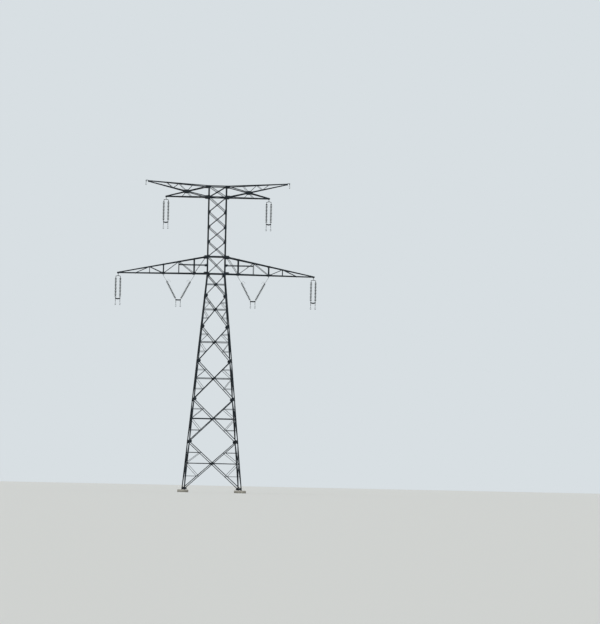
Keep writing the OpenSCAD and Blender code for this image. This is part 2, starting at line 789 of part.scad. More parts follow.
// A fork round a plate: two cheeks on a pin at the origin, joined above by a neck
fork_w = 46;
fork_h = 62;
module fork(gap) {
    cheek = 10;
    y0 = gap / 2 + 1.5;
    for (s = [-1, 1])
        translate([0, s * (y0 + cheek / 2), 0])
            rotate([90, 0, 0])
                translate([0, 0, -cheek / 2])
                    union() {
                        cylinder(d = fork_w, h = cheek, $fn = 48);
                        translate([-fork_w / 2, 0, 0])
                            cube([fork_w, fork_h, cheek]);
                    }
    translate([-fork_w / 2, -y0 - cheek, fork_h - 8])
        cube([fork_w, 2 * (y0 + cheek), 20]);
    pin_y(0, 0, 20, 2 * (y0 + cheek) + 18);
}

// One disc unit below its own top, as half a profile round its axis: the socket cap, the
// glass shell with two ribs under it, and the pin
function unit_profile(z) = [
    [10, z], [26, z], [34, z - 10], [48, z - 22], [50, z - 62], [disc_d / 2 - 22, z - 82],
    [disc_d / 2, z - 98], [disc_d / 2 - 4, z - 112], [disc_d / 2 - 24, z - 100],
    [disc_d / 2 - 34, z - 118], [disc_d / 2 - 42, z - 98], [60, z - 96], [54, z - 116], [46, z - 96],
    [16, z - 94], [14, z - 118], [10, z - 118]
];

module disc_string(count) {
    rotate_extrude($fn = 48)
        polygon(concat(
            [[0, 0]],
            [for (i = [0 : count - 1]) each unit_profile(-i * disc_pitch)],
            [[0, -count * disc_pitch + disc_pitch - 118]]
        ));
}

// Heights in a double suspension set, down from its eye: the crown and the ends of the top
// yoke, the strings, and the middle and the ends of the bottom yoke
crown_z = -190;
top_yoke_z = -255;
i_top_z = -390;
i_bottom_z = i_top_z - i_discs * disc_pitch;
bottom_yoke_z = i_bottom_z - 151;
belly_z = bottom_yoke_z - 61;

module plate_xz(points, t) {
    rotate([90, 0, 0])
        translate([0, 0, -t / 2])
            linear_extrude(t)
                polygon(points);
}

// A curved band in the XZ plane: its height at the middle and at x = reach, half its length
// and its width
function curve_z(x, z0, z1, reach) = z0 + (z1 - z0) * pow(x / reach, 2);
module curved_band(z0, z1, reach, half_l, h) {
    steps = 12;
    xs = [for (i = [0 : steps]) -half_l + 2 * half_l * i / steps];
    plate_xz(concat(
        [for (x = xs) [x, curve_z(x, z0, z1, reach) + h / 2]],
        [for (i = [steps : -1 : 0]) [xs[i], curve_z(xs[i], z0, z1, reach) - h / 2]]
    ), yoke_t);
}

module rod_between(p, q, d) {
    v = q - p;
    translate(p)
        rotate([0, atan2(norm([v.x, v.y]), v.z), atan2(v.y, v.x)])
            cylinder(d = d, h = norm(v), $fn = 24);
}

// The socket over a string's first cap, and the one on its last pin
socket_h = 42;
tail_h = 56;
tail_up = 42;
module socket(z) {
    translate([0, 0, z + seat])
        cylinder(d = 60, h = socket_h, $fn = 48);
}
module tail(z) {
    translate([0, 0, z - tail_h])
        difference() {
            cylinder(d = 54, h = tail_h, $fn = 48);
            translate([0, 0, tail_h - 27])
                cylinder(d = 33, h = 30, $fn = 48);
        }
}

// What joins a yoke to a clamp, drawn from the yoke's pin down: two straps, an eye and a rod
strap_l = 280;
hang_z = 130;
boss_d = 44;
module extension() {
    strap_y = yoke_t / 2 + 1.5;
    for (s = [-1, 1])
        translate([-22, s > 0 ? strap_y : -strap_y - 8, -strap_l - 26])
            cube([44, 8, strap_l + 52]);
    pin_y(0, 0, 20, 2 * strap_y + 34);
    pin_y(0, -strap_l, 20, 2 * strap_y + 34);
    translate([-20, -strap_y - 1, -strap_l - 34])
        cube([40, 2 * strap_y + 2, 60]);
    clamp_rod(-strap_l - 30, -clamp_drop + hang_z);
}

// The rod down to a clamp's bolt, with the eye round that bolt, the bolt across X with its
// heads, and the two straps that hang on it and hold the clamp's trunnions
hang_bolt_d = 18;
module clamp_rod(top, z) {
    rod_between([0, 0, top], [0, 0, z], 26);
    translate([-18, 0, z])
        rotate([0, 90, 0])
            cylinder(d = boss_d, h = 36, $fn = 48);
    translate([-68, 0, z])
        rotate([0, 90, 0])
            cylinder(d = hang_bolt_d, h = 136, $fn = 32);
    for (s = [-1, 1]) {
        translate([s * 65 - 5, 0, z])
            rotate([0, 90, 0])
                cylinder(d = 1.7 * hang_bolt_d, h = 10, $fn = 6);
        translate([s * 54 - 4, -18, z - hang_z - 20])
            difference() {
                cube([8, 36, hang_z + 42]);
                for (hole = [[20, 25], [hang_z + 20, hang_bolt_d + 2 * seat]])
                    translate([-1, 18, hole[0]])
                        rotate([0, 90, 0])
                            cylinder(d = hole[1], h = 10, $fn = 48);
            }
    }
}

// A suspension clamp with its groove along Y through the origin: a trough with turned down
// ends and a keeper bolted over it. Its trunnions turn in the straps of the rod above.
trough_wall = 12;
module trough(l, r, outer_r, ear) {
    rotate([90, 0, 0])
        linear_extrude(l)
            difference() {
                union() {
                    circle(r = outer_r, $fn = 64);
                    if (ear > outer_r)
                        translate([-ear, -12])
                            square([2 * ear, 12]);
                }
                circle(r = r, $fn = 64);
                translate([-r, 0])
                    square([2 * r, 60]);
            }
}

module clamp() {
    r = groove_d / 2;
    mouth_l = (clamp_l - groove_l) / 2;
    bolt_x = 37;
    translate([0, groove_l / 2, 0])
        trough(groove_l, r, r + trough_wall, 46);
    for (s = [0, 1])
        rotate([0, 0, 180 * s])
            translate([0, groove_l / 2, 0])
                rotate([-14, 0, 0])
                    translate([0, mouth_l, -1])
                        trough(mouth_l + 7, r + 3, r + trough_wall - 1, 0);
    rotate([90, 0, 0])
        translate([0, 0, -40])
            linear_extrude(80)
                difference() {
                    union() {
                        circle(r = r + 11, $fn = 64);
                        translate([-46, 0])
                            square([92, 12]);
                    }
                    circle(r = r, $fn = 64);
                    translate([-60, -60])
                        square([120, 60]);
                }
    for (y = [-26, 26]) {
        for (s = [-1, 1]) {
            translate([s * bolt_x, y, -34])
                cylinder(d = 12, h = 52, $fn = 24);
            translate([s * bolt_x, y, -24])
                cylinder(d = 21, h = 10, $fn = 6);
            translate([s * bolt_x, y, 11])
                cylinder(d = 21, h = 9, $fn = 6);
        }
    }
    for (s = [-1, 1])
        translate([s * 52 - 10, 0, 0])
            rotate([0, 90, 0])
                cylinder(d = 24, h = 20, $fn = 48);
}

module i_fittings() {
    g = twin_gap / 2;
    pin_off = 27;
    shackle();
    rod_between([0, 0, -80], [0, 0, crown_z + fork_h], 28);
    translate([0, 0, crown_z])
        fork(yoke_t);
    curved_band(crown_z, top_yoke_z, g, g + 30, top_yoke_h);
    curved_band(belly_z, bottom_yoke_z, g, g + 40, bottom_yoke_h);
    for (s = [-1, 1])
        translate([s * g, 0, 0]) {
            translate([0, 0, top_yoke_z - 3])
                mirror([0, 0, 1])
                    fork(yoke_t);
            rod_between([0, 0, top_yoke_z - fork_h - 5], [0, 0, i_top_z + socket_h - 5], 30);
            socket(i_top_z);
            tail(i_bottom_z + tail_up);
            translate([0, 0, bottom_yoke_z + pin_off])
                fork(yoke_t);
            rod_between([0, 0, i_bottom_z + tail_up - tail_h + 5],
                [0, 0, bottom_yoke_z + pin_off + fork_h], 28);
            translate([0, 0, bottom_yoke_z - pin_off]) {
                extension();
                translate([0, 0, -clamp_drop])
                    clamp();
            }
        }
}

module i_discs_pair() {
    for (s = [-1, 1])
        translate([s * twin_gap / 2, 0, i_top_z])
            disc_string(i_discs);
}

v_half = (v_outer_x - v_inner_x) / 2;
v_mid_x = (v_outer_x + v_inner_x) / 2;
v_run = v_half - twin_gap / 2;
v_leg = norm([v_run, v_drop]);
v_tilt = atan2(v_run, v_drop);
// Length of the fittings below a V leg's last disc, and of the link above its first
v_end = 135;
v_link = v_leg - v_discs * disc_pitch - v_end;

// The frame of one V leg: Z down the leg from the hanger's eye
module v_leg_frame(s) {
    translate([s * v_half, 0, 0])
        rotate([0, s * v_tilt, 0])
            children();
}

function ahead(p, q) = (q - p) / norm(q - p);

// An arcing horn beside the first discs of a leg, bent down along the string, of rods that
// get a little thinner towards its end
module horn(s) {
    path = [[0, 0, 26], [-s * 200, 0, 52], [-s * 285, 0, 20], [-s * 300, 0, -80], [-s * 292, 0, -190]];
    last = len(path) - 1;
    for (i = [0 : last - 1])
        rod_between(path[i], path[i + 1] + 4 * ahead(path[i], path[i + 1]), horn_d - i);
    tip = 13 * ahead(path[last - 1], path[last]);
    rod_between(path[last] - tip, path[last] + tip, 1.6 * horn_d);
}

module v_fittings() {
    g = twin_gap / 2;
    tail_z = -v_leg + v_end + tail_up;
    // An eye on the shackle's bow, and how far down the leg the link from it ends
    eye_z = -100;
    link_l = v_link - socket_h + 5;
    for (s = [-1, 1]) {
        translate([s * v_half, 0, 0])
            rotate([0, 0, 90])
                shackle();
        pin_y(s * v_half, eye_z, 44, 24);
        rod_between([s * v_half, 0, eye_z],
            [s * (v_half - link_l * sin(v_tilt)), 0, -link_l * cos(v_tilt)], 26);
        v_leg_frame(s) {
            translate([0, 0, -v_link]) {
                socket(0);
                horn(s);
            }
            tail(tail_z);
            rod_between([0, 0, tail_z - tail_h + 5], [0, 0, -v_leg + fork_h], 26);
            translate([0, 0, -v_leg])
                fork(yoke_t);
        }
        translate([s * g, 0, -v_drop - 62]) {
            extension();
            translate([0, 0, -clamp_drop])
                clamp();
        }
    }
    plate_xz([
        [-g - 50, -v_drop - 10], [-g - 34, -v_drop + 34], [-g + 34, -v_drop + 34], [-g + 80, -v_drop + 14],
        [g - 80, -v_drop + 14], [g - 34, -v_drop + 34], [g + 34, -v_drop + 34], [g + 50, -v_drop - 10],
        [g + 46, -v_drop - 80], [g + 22, -v_drop - 108], [-g - 22, -v_drop - 108], [-g - 46, -v_drop - 80]
    ], yoke_t);
}

module v_discs_pair() {
    for (s = [-1, 1])
        v_leg_frame(s)
            translate([0, 0, -v_link])
                disc_string(v_discs);
}

// Drop from the peak's eye to the groove of its clamp
earth_drop = 320;
module earth_clamp(sx) {
    color(steel)
        translate([sx * peak_eye.x, 0, peak_eye.z]) {
            shackle();
            clamp_rod(-80, -earth_drop + hang_z);
            translate([0, 0, -earth_drop])
                clamp();
        }
}

module i_string_fittings(x, z) {
    color(steel)
        translate([x, 0, z])
            i_fittings();
}

module i_string_discs(x, z) {
    color(glass)
        translate([x, 0, z])
            i_discs_pair();
}

module v_string_fittings(sx) {
    color(steel)
        translate([sx * v_mid_x, 0, v_eye_z])
            v_fittings();
}

module v_string_discs(sx) {
    color(glass)
        translate([sx * v_mid_x, 0, v_eye_z])
            v_discs_pair();
}

footing(-1, -1);  // footing_front_left
footing(1, -1);  // footing_front_right
footing(-1, 1);  // footing_back_left
footing(1, 1);  // footing_back_right
leg(-1, -1);  // leg_front_left
leg(1, -1);  // leg_front_right
leg(-1, 1);  // leg_back_left
leg(1, 1);  // leg_back_right
mast_leg(-1, -1);  // mast_leg_front_left
mast_leg(1, -1);  // mast_leg_front_right
mast_leg(-1, 1);  // mast_leg_back_left
mast_leg(1, 1);  // mast_leg_back_right
body_lattice(0);  // body_lattice_front
body_lattice(1);  // body_lattice_right
body_lattice(2);  // body_lattice_back
body_lattice(3);  // body_lattice_left
mast_lattice(0);  // mast_lattice_front
mast_lattice(1);  // mast_lattice_right
mast_lattice(2);  // mast_lattice_back
mast_lattice(3);  // mast_lattice_left
plan_bracing();
lower_side(-1, -1);  // lower_arm_left_front
lower_side(-1, 1);  // lower_arm_left_back
lower_bracing(-1);  // lower_arm_left_bracing
lower_side(1, -1);  // lower_arm_right_front
lower_side(1, 1);  // lower_arm_right_back
lower_bracing(1);  // lower_arm_right_bracing
upper_side(-1, -1);  // upper_arm_left_front
upper_side(-1, 1);  // upper_arm_left_back
upper_bracing(-1);  // upper_arm_left_bracing
upper_side(1, -1);  // upper_arm_right_front
upper_side(1, 1);  // upper_arm_right_back
upper_bracing(1);  // upper_arm_right_bracing
i_string_fittings(-i_lower_x, i_lower_z);  // i_string_lower_left_fittings
i_string_discs(-i_lower_x, i_lower_z);  // i_string_lower_left_discs
i_string_fittings(i_lower_x, i_lower_z);  // i_string_lower_right_fittings
i_string_discs(i_lower_x, i_lower_z);  // i_string_lower_right_discs
i_string_fittings(-i_upper_x, i_upper_z);  // i_string_upper_left_fittings
i_string_discs(-i_upper_x, i_upper_z);  // i_string_upper_left_discs
i_string_fittings(i_upper_x, i_upper_z);  // i_string_upper_right_fittings
i_string_discs(i_upper_x, i_upper_z);  // i_string_upper_right_discs
v_string_fittings(-1);  // v_string_left_fittings
v_string_discs(-1);  // v_string_left_discs
v_string_fittings(1);  // v_string_right_fittings
v_string_discs(1);  // v_string_right_discs
earth_clamp(-1);  // earth_clamp_left
earth_clamp(1);  // earth_clamp_right
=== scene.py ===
# Lattice transmission pylon: materials, glass discs, bolts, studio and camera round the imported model
import json
import math

import bpy
from mathutils import Matrix, Vector
from mathutils.bvhtree import BVHTree


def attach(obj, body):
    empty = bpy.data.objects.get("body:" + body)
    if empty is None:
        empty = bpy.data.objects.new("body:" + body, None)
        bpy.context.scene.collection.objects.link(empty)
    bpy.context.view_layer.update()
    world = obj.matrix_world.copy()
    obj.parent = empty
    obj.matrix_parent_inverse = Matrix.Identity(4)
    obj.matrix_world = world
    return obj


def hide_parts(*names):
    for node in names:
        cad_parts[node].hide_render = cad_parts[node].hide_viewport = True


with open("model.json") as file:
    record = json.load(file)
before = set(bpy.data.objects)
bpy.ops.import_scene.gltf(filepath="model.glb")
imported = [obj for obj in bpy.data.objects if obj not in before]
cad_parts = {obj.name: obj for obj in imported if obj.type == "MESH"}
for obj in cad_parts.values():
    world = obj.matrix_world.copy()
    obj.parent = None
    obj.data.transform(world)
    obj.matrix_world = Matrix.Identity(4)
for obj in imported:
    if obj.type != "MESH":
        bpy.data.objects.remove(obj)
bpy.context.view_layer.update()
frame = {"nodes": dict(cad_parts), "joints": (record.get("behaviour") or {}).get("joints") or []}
print("frame loaded")


def linear(hexColour):
    # one sRGB hex colour as linear RGBA
    parts = [int(hexColour[i:i + 2], 16) / 255 for i in (1, 3, 5)]
    return [c / 12.92 if c <= 0.04045 else ((c + 0.055) / 1.055) ** 2.4 for c in parts] + [1.0]


def addNode(tree, kind, settings=None, links=None):
    # adds a node, sets its sockets or properties, and links its inputs
    node = tree.nodes.new(kind)
    for name, value in (settings or {}).items():
        if isinstance(name, int) or name in node.inputs:
            node.inputs[name].default_value = value
        else:
            setattr(node, name, value)
    for name, source in (links or {}).items():
        tree.links.new(source, node.inputs[name])
    return node


def newMaterial(name, settings):
    # a new surface, with its fixed numbers on the shader's own sockets
    material = bpy.data.materials.new(name)
    material.use_nodes = True
    tree = material.node_tree
    shader = tree.nodes["Principled BSDF"]
    for socket, value in settings.items():
        shader.inputs[socket].default_value = value
    return material, tree, shader


def deselectAll():
    if bpy.context.object and bpy.context.object.mode != "OBJECT":
        bpy.ops.object.mode_set(mode="OBJECT")
    bpy.ops.object.select_all(action="DESELECT")


# Camera: far away, low, a little left of the tower's axis, as in the photograph
view = {
    "place": (-19.01, -418.57, 0.80), "yaw": 3.7577, "pitch": 2.3782, "roll": 1.1926,
    "focal": 4200, "frame": 600, "sensor": 36, "clipEnd": 5000,
}


def makeCamera(v):
    # place in metres, turns in degrees, focal length in pixels of a picture so many pixels wide
    yaw, pitch, roll = (math.radians(v[k]) for k in ("yaw", "pitch", "roll"))
    ahead = Vector((math.sin(yaw) * math.cos(pitch), math.cos(yaw) * math.cos(pitch), math.sin(pitch)))
    right = Vector((math.cos(yaw), -math.sin(yaw), 0))
    up = right.cross(ahead)
    tilted = math.cos(roll) * right + math.sin(roll) * up
    upright = tilted.cross(ahead)
    data = bpy.data.cameras.new("camera")
    data.sensor_fit = "HORIZONTAL"
    data.sensor_width = v["sensor"]
    data.lens = v["focal"] * v["sensor"] / v["frame"]
    data.clip_end = v["clipEnd"]
    camera = bpy.data.objects.new("camera", data)
    turn = Matrix((tilted, upright, -ahead)).transposed().to_4x4()
    camera.matrix_world = Matrix.Translation(v["place"]) @ turn
    bpy.context.scene.collection.objects.link(camera)
    bpy.context.scene.camera = camera


makeCamera(view)

# Studio: pale floor, pale backdrop, soft light
studio = {
    "sky": "#d8dfe3", "floor": "#d3d5d2", "floorSize": 6000,
    "worldLight": 0.65, "sun": 1.4, "sunSoftness": 25, "sunTurn": (48, 8, -38),
}


def makeStudio(s):
    deselectAll()
    bpy.ops.mesh.primitive_plane_add(size=s["floorSize"], location=(0, 0, 0))
    floor = bpy.context.object
    floor.name = "floor"
    material = newMaterial("pale floor", {"Base Color": linear(s["floor"]), "Roughness": 0.9})[0]
    floor.data.materials.append(material)
    world = bpy.data.worlds.new("studio")
    bpy.context.scene.world = world
    world.use_nodes = True
    tree = world.node_tree
    tree.nodes.clear()
    lightPath = addNode(tree, "ShaderNodeLightPath")
    seen = addNode(tree, "ShaderNodeMath", {"operation": "MAXIMUM"},
                   {0: lightPath.outputs["Is Camera Ray"], 1: lightPath.outputs["Is Glossy Ray"]})
    seenThrough = addNode(tree, "ShaderNodeMath", {"operation": "MAXIMUM"},
                          {0: seen.outputs[0], 1: lightPath.outputs["Is Transmission Ray"]})
    lamp = addNode(tree, "ShaderNodeBackground", {"Color": (1, 1, 1, 1), "Strength": s["worldLight"]})
    backdrop = addNode(tree, "ShaderNodeBackground", {"Color": linear(s["sky"]), "Strength": 1})
    mix = addNode(tree, "ShaderNodeMixShader", {},
                  {0: seenThrough.outputs[0], 1: lamp.outputs[0], 2: backdrop.outputs[0]})
    addNode(tree, "ShaderNodeOutputWorld", {}, {"Surface": mix.outputs[0]})
    lightData = bpy.data.lights.new("softSun", "SUN")
    lightData.energy = s["sun"]
    lightData.angle = math.radians(s["sunSoftness"])
    light = bpy.data.objects.new("softSun", lightData)
    light.rotation_euler = [math.radians(a) for a in s["sunTurn"]]
    bpy.context.scene.collection.objects.link(light)


makeStudio(studio)
bpy.context.scene.view_settings.view_transform = "Standard"
print("camera and studio made")

# Weathered micaceous paint on hot dip galvanised angles: a dark grey paint, written near black with
# painted shade that stands for the shade of the backlit tower, matt, cloudy from bar to bar, chalked in
# streaks where rain runs down, dusty on what faces up. The mica's 0.1 mm flakes are drawn as a 6 mm grain, or
# they would not show.
towerPaint = {
    "base": "#090f13", "faded": "#18232b", "chalk": "#3d4a53", "dust": "#4b555a",
    "cloud": 1.3, "mottle": 0.12, "streakWidth": 0.03, "streakLength": 0.7, "grain": 0.006,
    "rough": (0.55, 0.8), "gloss": 0.25, "bump": 0.0012,
}


def makeTowerPaint(p):
    material, tree, shader = newMaterial("micaceous paint on galvanised steel",
                                         {"IOR": 1.5, "Specular IOR Level": p["gloss"]})
    place = addNode(tree, "ShaderNodeTexCoord").outputs["Object"]
    clouds = addNode(tree, "ShaderNodeTexNoise", {"Scale": 1 / p["cloud"], "Detail": 3, "Roughness": 0.55},
                     {"Vector": place})
    mottle = addNode(tree, "ShaderNodeTexNoise", {"Scale": 1 / p["mottle"], "Detail": 4, "Roughness": 0.6},
                     {"Vector": place})
    tone = addNode(tree, "ShaderNodeMapRange", {"From Min": 0.8, "From Max": 1.2},
                   {"Value": addNode(tree, "ShaderNodeMath", {"operation": "ADD"},
                                     {0: clouds.outputs["Fac"], 1: mottle.outputs["Fac"]}).outputs[0]})
    # the near black base and faded colours are dark grey paint with painted shade of the backlit tower
    base = addNode(tree, "ShaderNodeMix",
                   {"data_type": "RGBA", 6: linear(p["base"]), 7: linear(p["faded"])},
                   {0: tone.outputs[0]})
    across, along = 1 / p["streakWidth"], 1 / p["streakLength"]
    stretched = addNode(tree, "ShaderNodeMapping", {"Scale": (across, across, along)}, {"Vector": place})
    streaks = addNode(tree, "ShaderNodeTexNoise", {"Scale": 1, "Detail": 3, "Roughness": 0.7},
                      {"Vector": stretched.outputs[0]})
    streakMask = addNode(tree, "ShaderNodeMapRange", {"From Min": 0.56, "From Max": 0.78, "To Max": 0.75},
                         {"Value": streaks.outputs["Fac"]})
    chalked = addNode(tree, "ShaderNodeMix", {"data_type": "RGBA", 7: linear(p["chalk"])},
                      {0: streakMask.outputs[0], 6: base.outputs[2]})
    facing = addNode(tree, "ShaderNodeSeparateXYZ", {},
                     {0: addNode(tree, "ShaderNodeNewGeometry").outputs["Normal"]})
    upward = addNode(tree, "ShaderNodeMapRange", {"From Min": 0.55, "From Max": 0.95, "To Max": 0.8},
                     {"Value": facing.outputs["Z"]})
    dusty = addNode(tree, "ShaderNodeMath", {"operation": "MULTIPLY"},
                    {0: upward.outputs[0], 1: mottle.outputs["Fac"]})
    colour = addNode(tree, "ShaderNodeMix", {"data_type": "RGBA", 7: linear(p["dust"])},
                     {0: dusty.outputs[0], 6: chalked.outputs[2]})
    rough = addNode(tree, "ShaderNodeMapRange", {"To Min": p["rough"][0], "To Max": p["rough"][1]},
                    {"Value": tone.outputs[0]})
    grain = addNode(tree, "ShaderNodeTexVoronoi", {"Scale": 1 / p["grain"]}, {"Vector": place})
    bump = addNode(tree, "ShaderNodeBump", {"Strength": 0.35, "Distance": p["bump"]},
                   {"Height": grain.outputs["Distance"]})
    tree.links.new(colour.outputs[2], shader.inputs["Base Color"])
    tree.links.new(rough.outputs[0], shader.inputs["Roughness"])
    tree.links.new(bump.outputs[0], shader.inputs["Normal"])
    return material


# Forged and hot dip galvanised fittings, dulled by years outside: grey zinc, written near black with
# painted shade of the backlit tower, with faint spangles, pale patches of zinc carbonate and darker grime
fittingSteel = {
    "zinc": "#171c1f", "spangle": "#23292d", "carbonate": "#3c4448", "grime": "#0c0f11",
    "spangleSize": 0.014, "patch": 0.09, "forging": 0.02, "bump": 0.0015, "rough": (0.42, 0.65),
    "metal": 0.35, "gloss": 0.3,
}


def makeFittingSteel(name, p):
    material, tree, shader = newMaterial(name, {"Metallic": p["metal"], "Specular IOR Level": p["gloss"]})
    place = addNode(tree, "ShaderNodeTexCoord").outputs["Object"]
    spangles = addNode(tree, "ShaderNodeTexVoronoi", {"Scale": 1 / p["spangleSize"]}, {"Vector": place})
    spangleTone = addNode(tree, "ShaderNodeSeparateColor", {}, {0: spangles.outputs["Color"]})
    # zinc and spangle colours are grey zinc darkened to near black with painted shade
    zinc = addNode(tree, "ShaderNodeMix",
                   {"data_type": "RGBA", 6: linear(p["zinc"]), 7: linear(p["spangle"])},
                   {0: spangleTone.outputs[0]})
    patches = addNode(tree, "ShaderNodeTexNoise", {"Scale": 1 / p["patch"], "Detail": 5, "Roughness": 0.65},
                      {"Vector": place})
    pale = addNode(tree, "ShaderNodeMapRange", {"From Min": 0.55, "From Max": 0.72, "To Max": 0.6},
                   {"Value": patches.outputs["Fac"]})
    dark = addNode(tree, "ShaderNodeMapRange", {"From Min": 0.48, "From Max": 0.3, "To Max": 0.8},
                   {"Value": patches.outputs["Fac"]})
    paled = addNode(tree, "ShaderNodeMix", {"data_type": "RGBA", 7: linear(p["carbonate"])},
                    {0: pale.outputs[0], 6: zinc.outputs[2]})
    colour = addNode(tree, "ShaderNodeMix", {"data_type": "RGBA", 7: linear(p["grime"])},
                     {0: dark.outputs[0], 6: paled.outputs[2]})
    rough = addNode(tree, "ShaderNodeMapRange", {"To Min": p["rough"][0], "To Max": p["rough"][1]},
                    {"Value": patches.outputs["Fac"]})
    forging = addNode(tree, "ShaderNodeTexNoise", {"Scale": 1 / p["forging"], "Detail": 3},
                      {"Vector": place})
    bump = addNode(tree, "ShaderNodeBump", {"Strength": 0.4, "Distance": p["bump"]},
                   {"Height": forging.outputs["Fac"]})
    tree.links.new(colour.outputs[2], shader.inputs["Base Color"])
    tree.links.new(rough.outputs[0], shader.inputs["Roughness"])
    tree.links.new(bump.outputs[0], shader.inputs["Normal"])
    return material


# Toughened soda lime glass, pressed and air quenched: clear with a grey green cast, its colour written
# dark with painted shade of the strings seen against the light, smooth, with a film of dust that is thickest
# near the caps
discGlass = {
    "clean": "#22312c", "dusty": "#262c29", "film": 0.05, "rough": (0.1, 0.45), "gloss": 0.35, "see": 0.15,
}


def makeDiscGlass(p):
    material, tree, shader = newMaterial("toughened glass", {
        "IOR": 1.52, "Transmission Weight": p["see"], "Specular IOR Level": p["gloss"]})
    place = addNode(tree, "ShaderNodeTexCoord").outputs["Object"]
    film = addNode(tree, "ShaderNodeTexNoise", {"Scale": 1 / p["film"], "Detail": 4, "Roughness": 0.6},
                   {"Vector": place})
    mask = addNode(tree, "ShaderNodeMapRange", {"From Min": 0.4, "From Max": 0.65},
                   {"Value": film.outputs["Fac"]})
    # clean and dusty colours are both grey green glass darkened with painted shade
    colour = addNode(tree, "ShaderNodeMix",
                     {"data_type": "RGBA", 6: linear(p["clean"]), 7: linear(p["dusty"])},
                     {0: mask.outputs[0]})
    rough = addNode(tree, "ShaderNodeMapRange", {"To Min": p["rough"][0], "To Max": p["rough"][1]},
                    {"Value": mask.outputs[0]})
    tree.links.new(colour.outputs[2], shader.inputs["Base Color"])
    tree.links.new(rough.outputs[0], shader.inputs["Roughness"])
    return material


# Malleable iron caps and forged pins, galvanised and long since dull: dark grey, sand cast skin,
# with brown spots
capIron = {
    "iron": "#15181a", "worn": "#24292b", "rust": "#2a211a", "patch": 0.03, "spotsToPatch": 2.3,
    "skin": 0.004, "bump": 0.0008,
}


def makeCapIron(p):
    material, tree, shader = newMaterial("galvanised malleable iron", {"Metallic": 0.35, "Roughness": 0.6})
    place = addNode(tree, "ShaderNodeTexCoord").outputs["Object"]
    patches = addNode(tree, "ShaderNodeTexNoise", {"Scale": 1 / p["patch"], "Detail": 4, "Roughness": 0.6},
                      {"Vector": place})
    worn = addNode(tree, "ShaderNodeMapRange", {"From Min": 0.35, "From Max": 0.65},
                   {"Value": patches.outputs["Fac"]})
    iron = addNode(tree, "ShaderNodeMix",
                   {"data_type": "RGBA", 6: linear(p["iron"]), 7: linear(p["worn"])},
                   {0: worn.outputs[0]})
    spots = addNode(tree, "ShaderNodeTexNoise", {"Scale": p["spotsToPatch"] / p["patch"], "Detail": 2},
                    {"Vector": place})
    rusted = addNode(tree, "ShaderNodeMapRange", {"From Min": 0.6, "From Max": 0.75, "To Max": 0.7},
                     {"Value": spots.outputs["Fac"]})
    colour = addNode(tree, "ShaderNodeMix", {"data_type": "RGBA", 7: linear(p["rust"])},
                     {0: rusted.outputs[0], 6: iron.outputs[2]})
    skin = addNode(tree, "ShaderNodeTexNoise", {"Scale": 1 / p["skin"], "Detail": 2}, {"Vector": place})
    bump = addNode(tree, "ShaderNodeBump", {"Strength": 0.4, "Distance": p["bump"]},
                   {"Height": skin.outputs["Fac"]})
    tree.links.new(colour.outputs[2], shader.inputs["Base Color"])
    tree.links.new(bump.outputs[0], shader.inputs["Normal"])
    return material


# Concrete cast in round steel shutters: warm grey, blotchy, with blow holes, and a damp green
# grey band round its foot, where rain splashes up
castConcrete = {
    "grey": "#a3a097", "blotch": "#87857d", "damp": "#5f6154", "blotchSize": 0.16, "sand": 0.004,
    "holeSize": 0.035, "dampTop": 0.12, "dampWave": 0.12, "bump": 0.002,
}


def makeConcrete(p):
    material, tree, shader = newMaterial("cast concrete", {"Roughness": 0.9})
    place = addNode(tree, "ShaderNodeTexCoord").outputs["Object"]
    blotches = addNode(tree, "ShaderNodeTexNoise",
                       {"Scale": 1 / p["blotchSize"], "Detail": 5, "Roughness": 0.65}, {"Vector": place})
    mask = addNode(tree, "ShaderNodeMapRange", {"From Min": 0.35, "From Max": 0.65},
                   {"Value": blotches.outputs["Fac"]})
    grey = addNode(tree, "ShaderNodeMix",
                   {"data_type": "RGBA", 6: linear(p["grey"]), 7: linear(p["blotch"])},
                   {0: mask.outputs[0]})
    height = addNode(tree, "ShaderNodeSeparateXYZ", {}, {0: place})
    wavy = addNode(tree, "ShaderNodeMath", {"operation": "MULTIPLY_ADD", 1: -p["dampWave"]},
                   {0: blotches.outputs["Fac"], 2: height.outputs["Z"]})
    sunk = p["dampWave"] / 2  # the noise is about a half, so the wave lowers the height by this much
    damp = addNode(tree, "ShaderNodeMapRange",
                   {"From Min": p["dampTop"] - sunk, "From Max": -sunk, "To Max": 0.8},
                   {"Value": wavy.outputs[0]})
    colour = addNode(tree, "ShaderNodeMix", {"data_type": "RGBA", 7: linear(p["damp"])},
                     {0: damp.outputs[0], 6: grey.outputs[2]})
    sand = addNode(tree, "ShaderNodeTexNoise", {"Scale": 1 / p["sand"], "Detail": 2}, {"Vector": place})
    holes = addNode(tree, "ShaderNodeTexVoronoi", {"Scale": 1 / p["holeSize"]}, {"Vector": place})
    pits = addNode(tree, "ShaderNodeMapRange", {"From Min": 0.05, "From Max": 0.16},
                   {"Value": holes.outputs["Distance"]})
    relief = addNode(tree, "ShaderNodeMath", {"operation": "MULTIPLY_ADD", 1: 0.15},
                     {0: sand.outputs["Fac"], 2: pits.outputs[0]})
    bump = addNode(tree, "ShaderNodeBump", {"Strength": 0.6, "Distance": p["bump"]},
                   {"Height": relief.outputs[0]})
    tree.links.new(colour.outputs[2], shader.inputs["Base Color"])
    tree.links.new(bump.outputs[0], shader.inputs["Normal"])
    return material


# Spun galvanised bolts were left bare, so they stay a little paler than the painted bars
boltZinc = dict(fittingSteel, zinc="#2c3235", spangle="#3b4347", carbonate="#525b60", grime="#191d1f",
                patch=0.03)

paint = makeTowerPaint(towerPaint)
boltSteel = makeFittingSteel("galvanised bolts", boltZinc)
galvanised = makeFittingSteel("dull galvanised forged steel", fittingSteel)
glass = makeDiscGlass(discGlass)
iron = makeCapIron(capIron)
concrete = makeConcrete(castConcrete)
print("materials made")

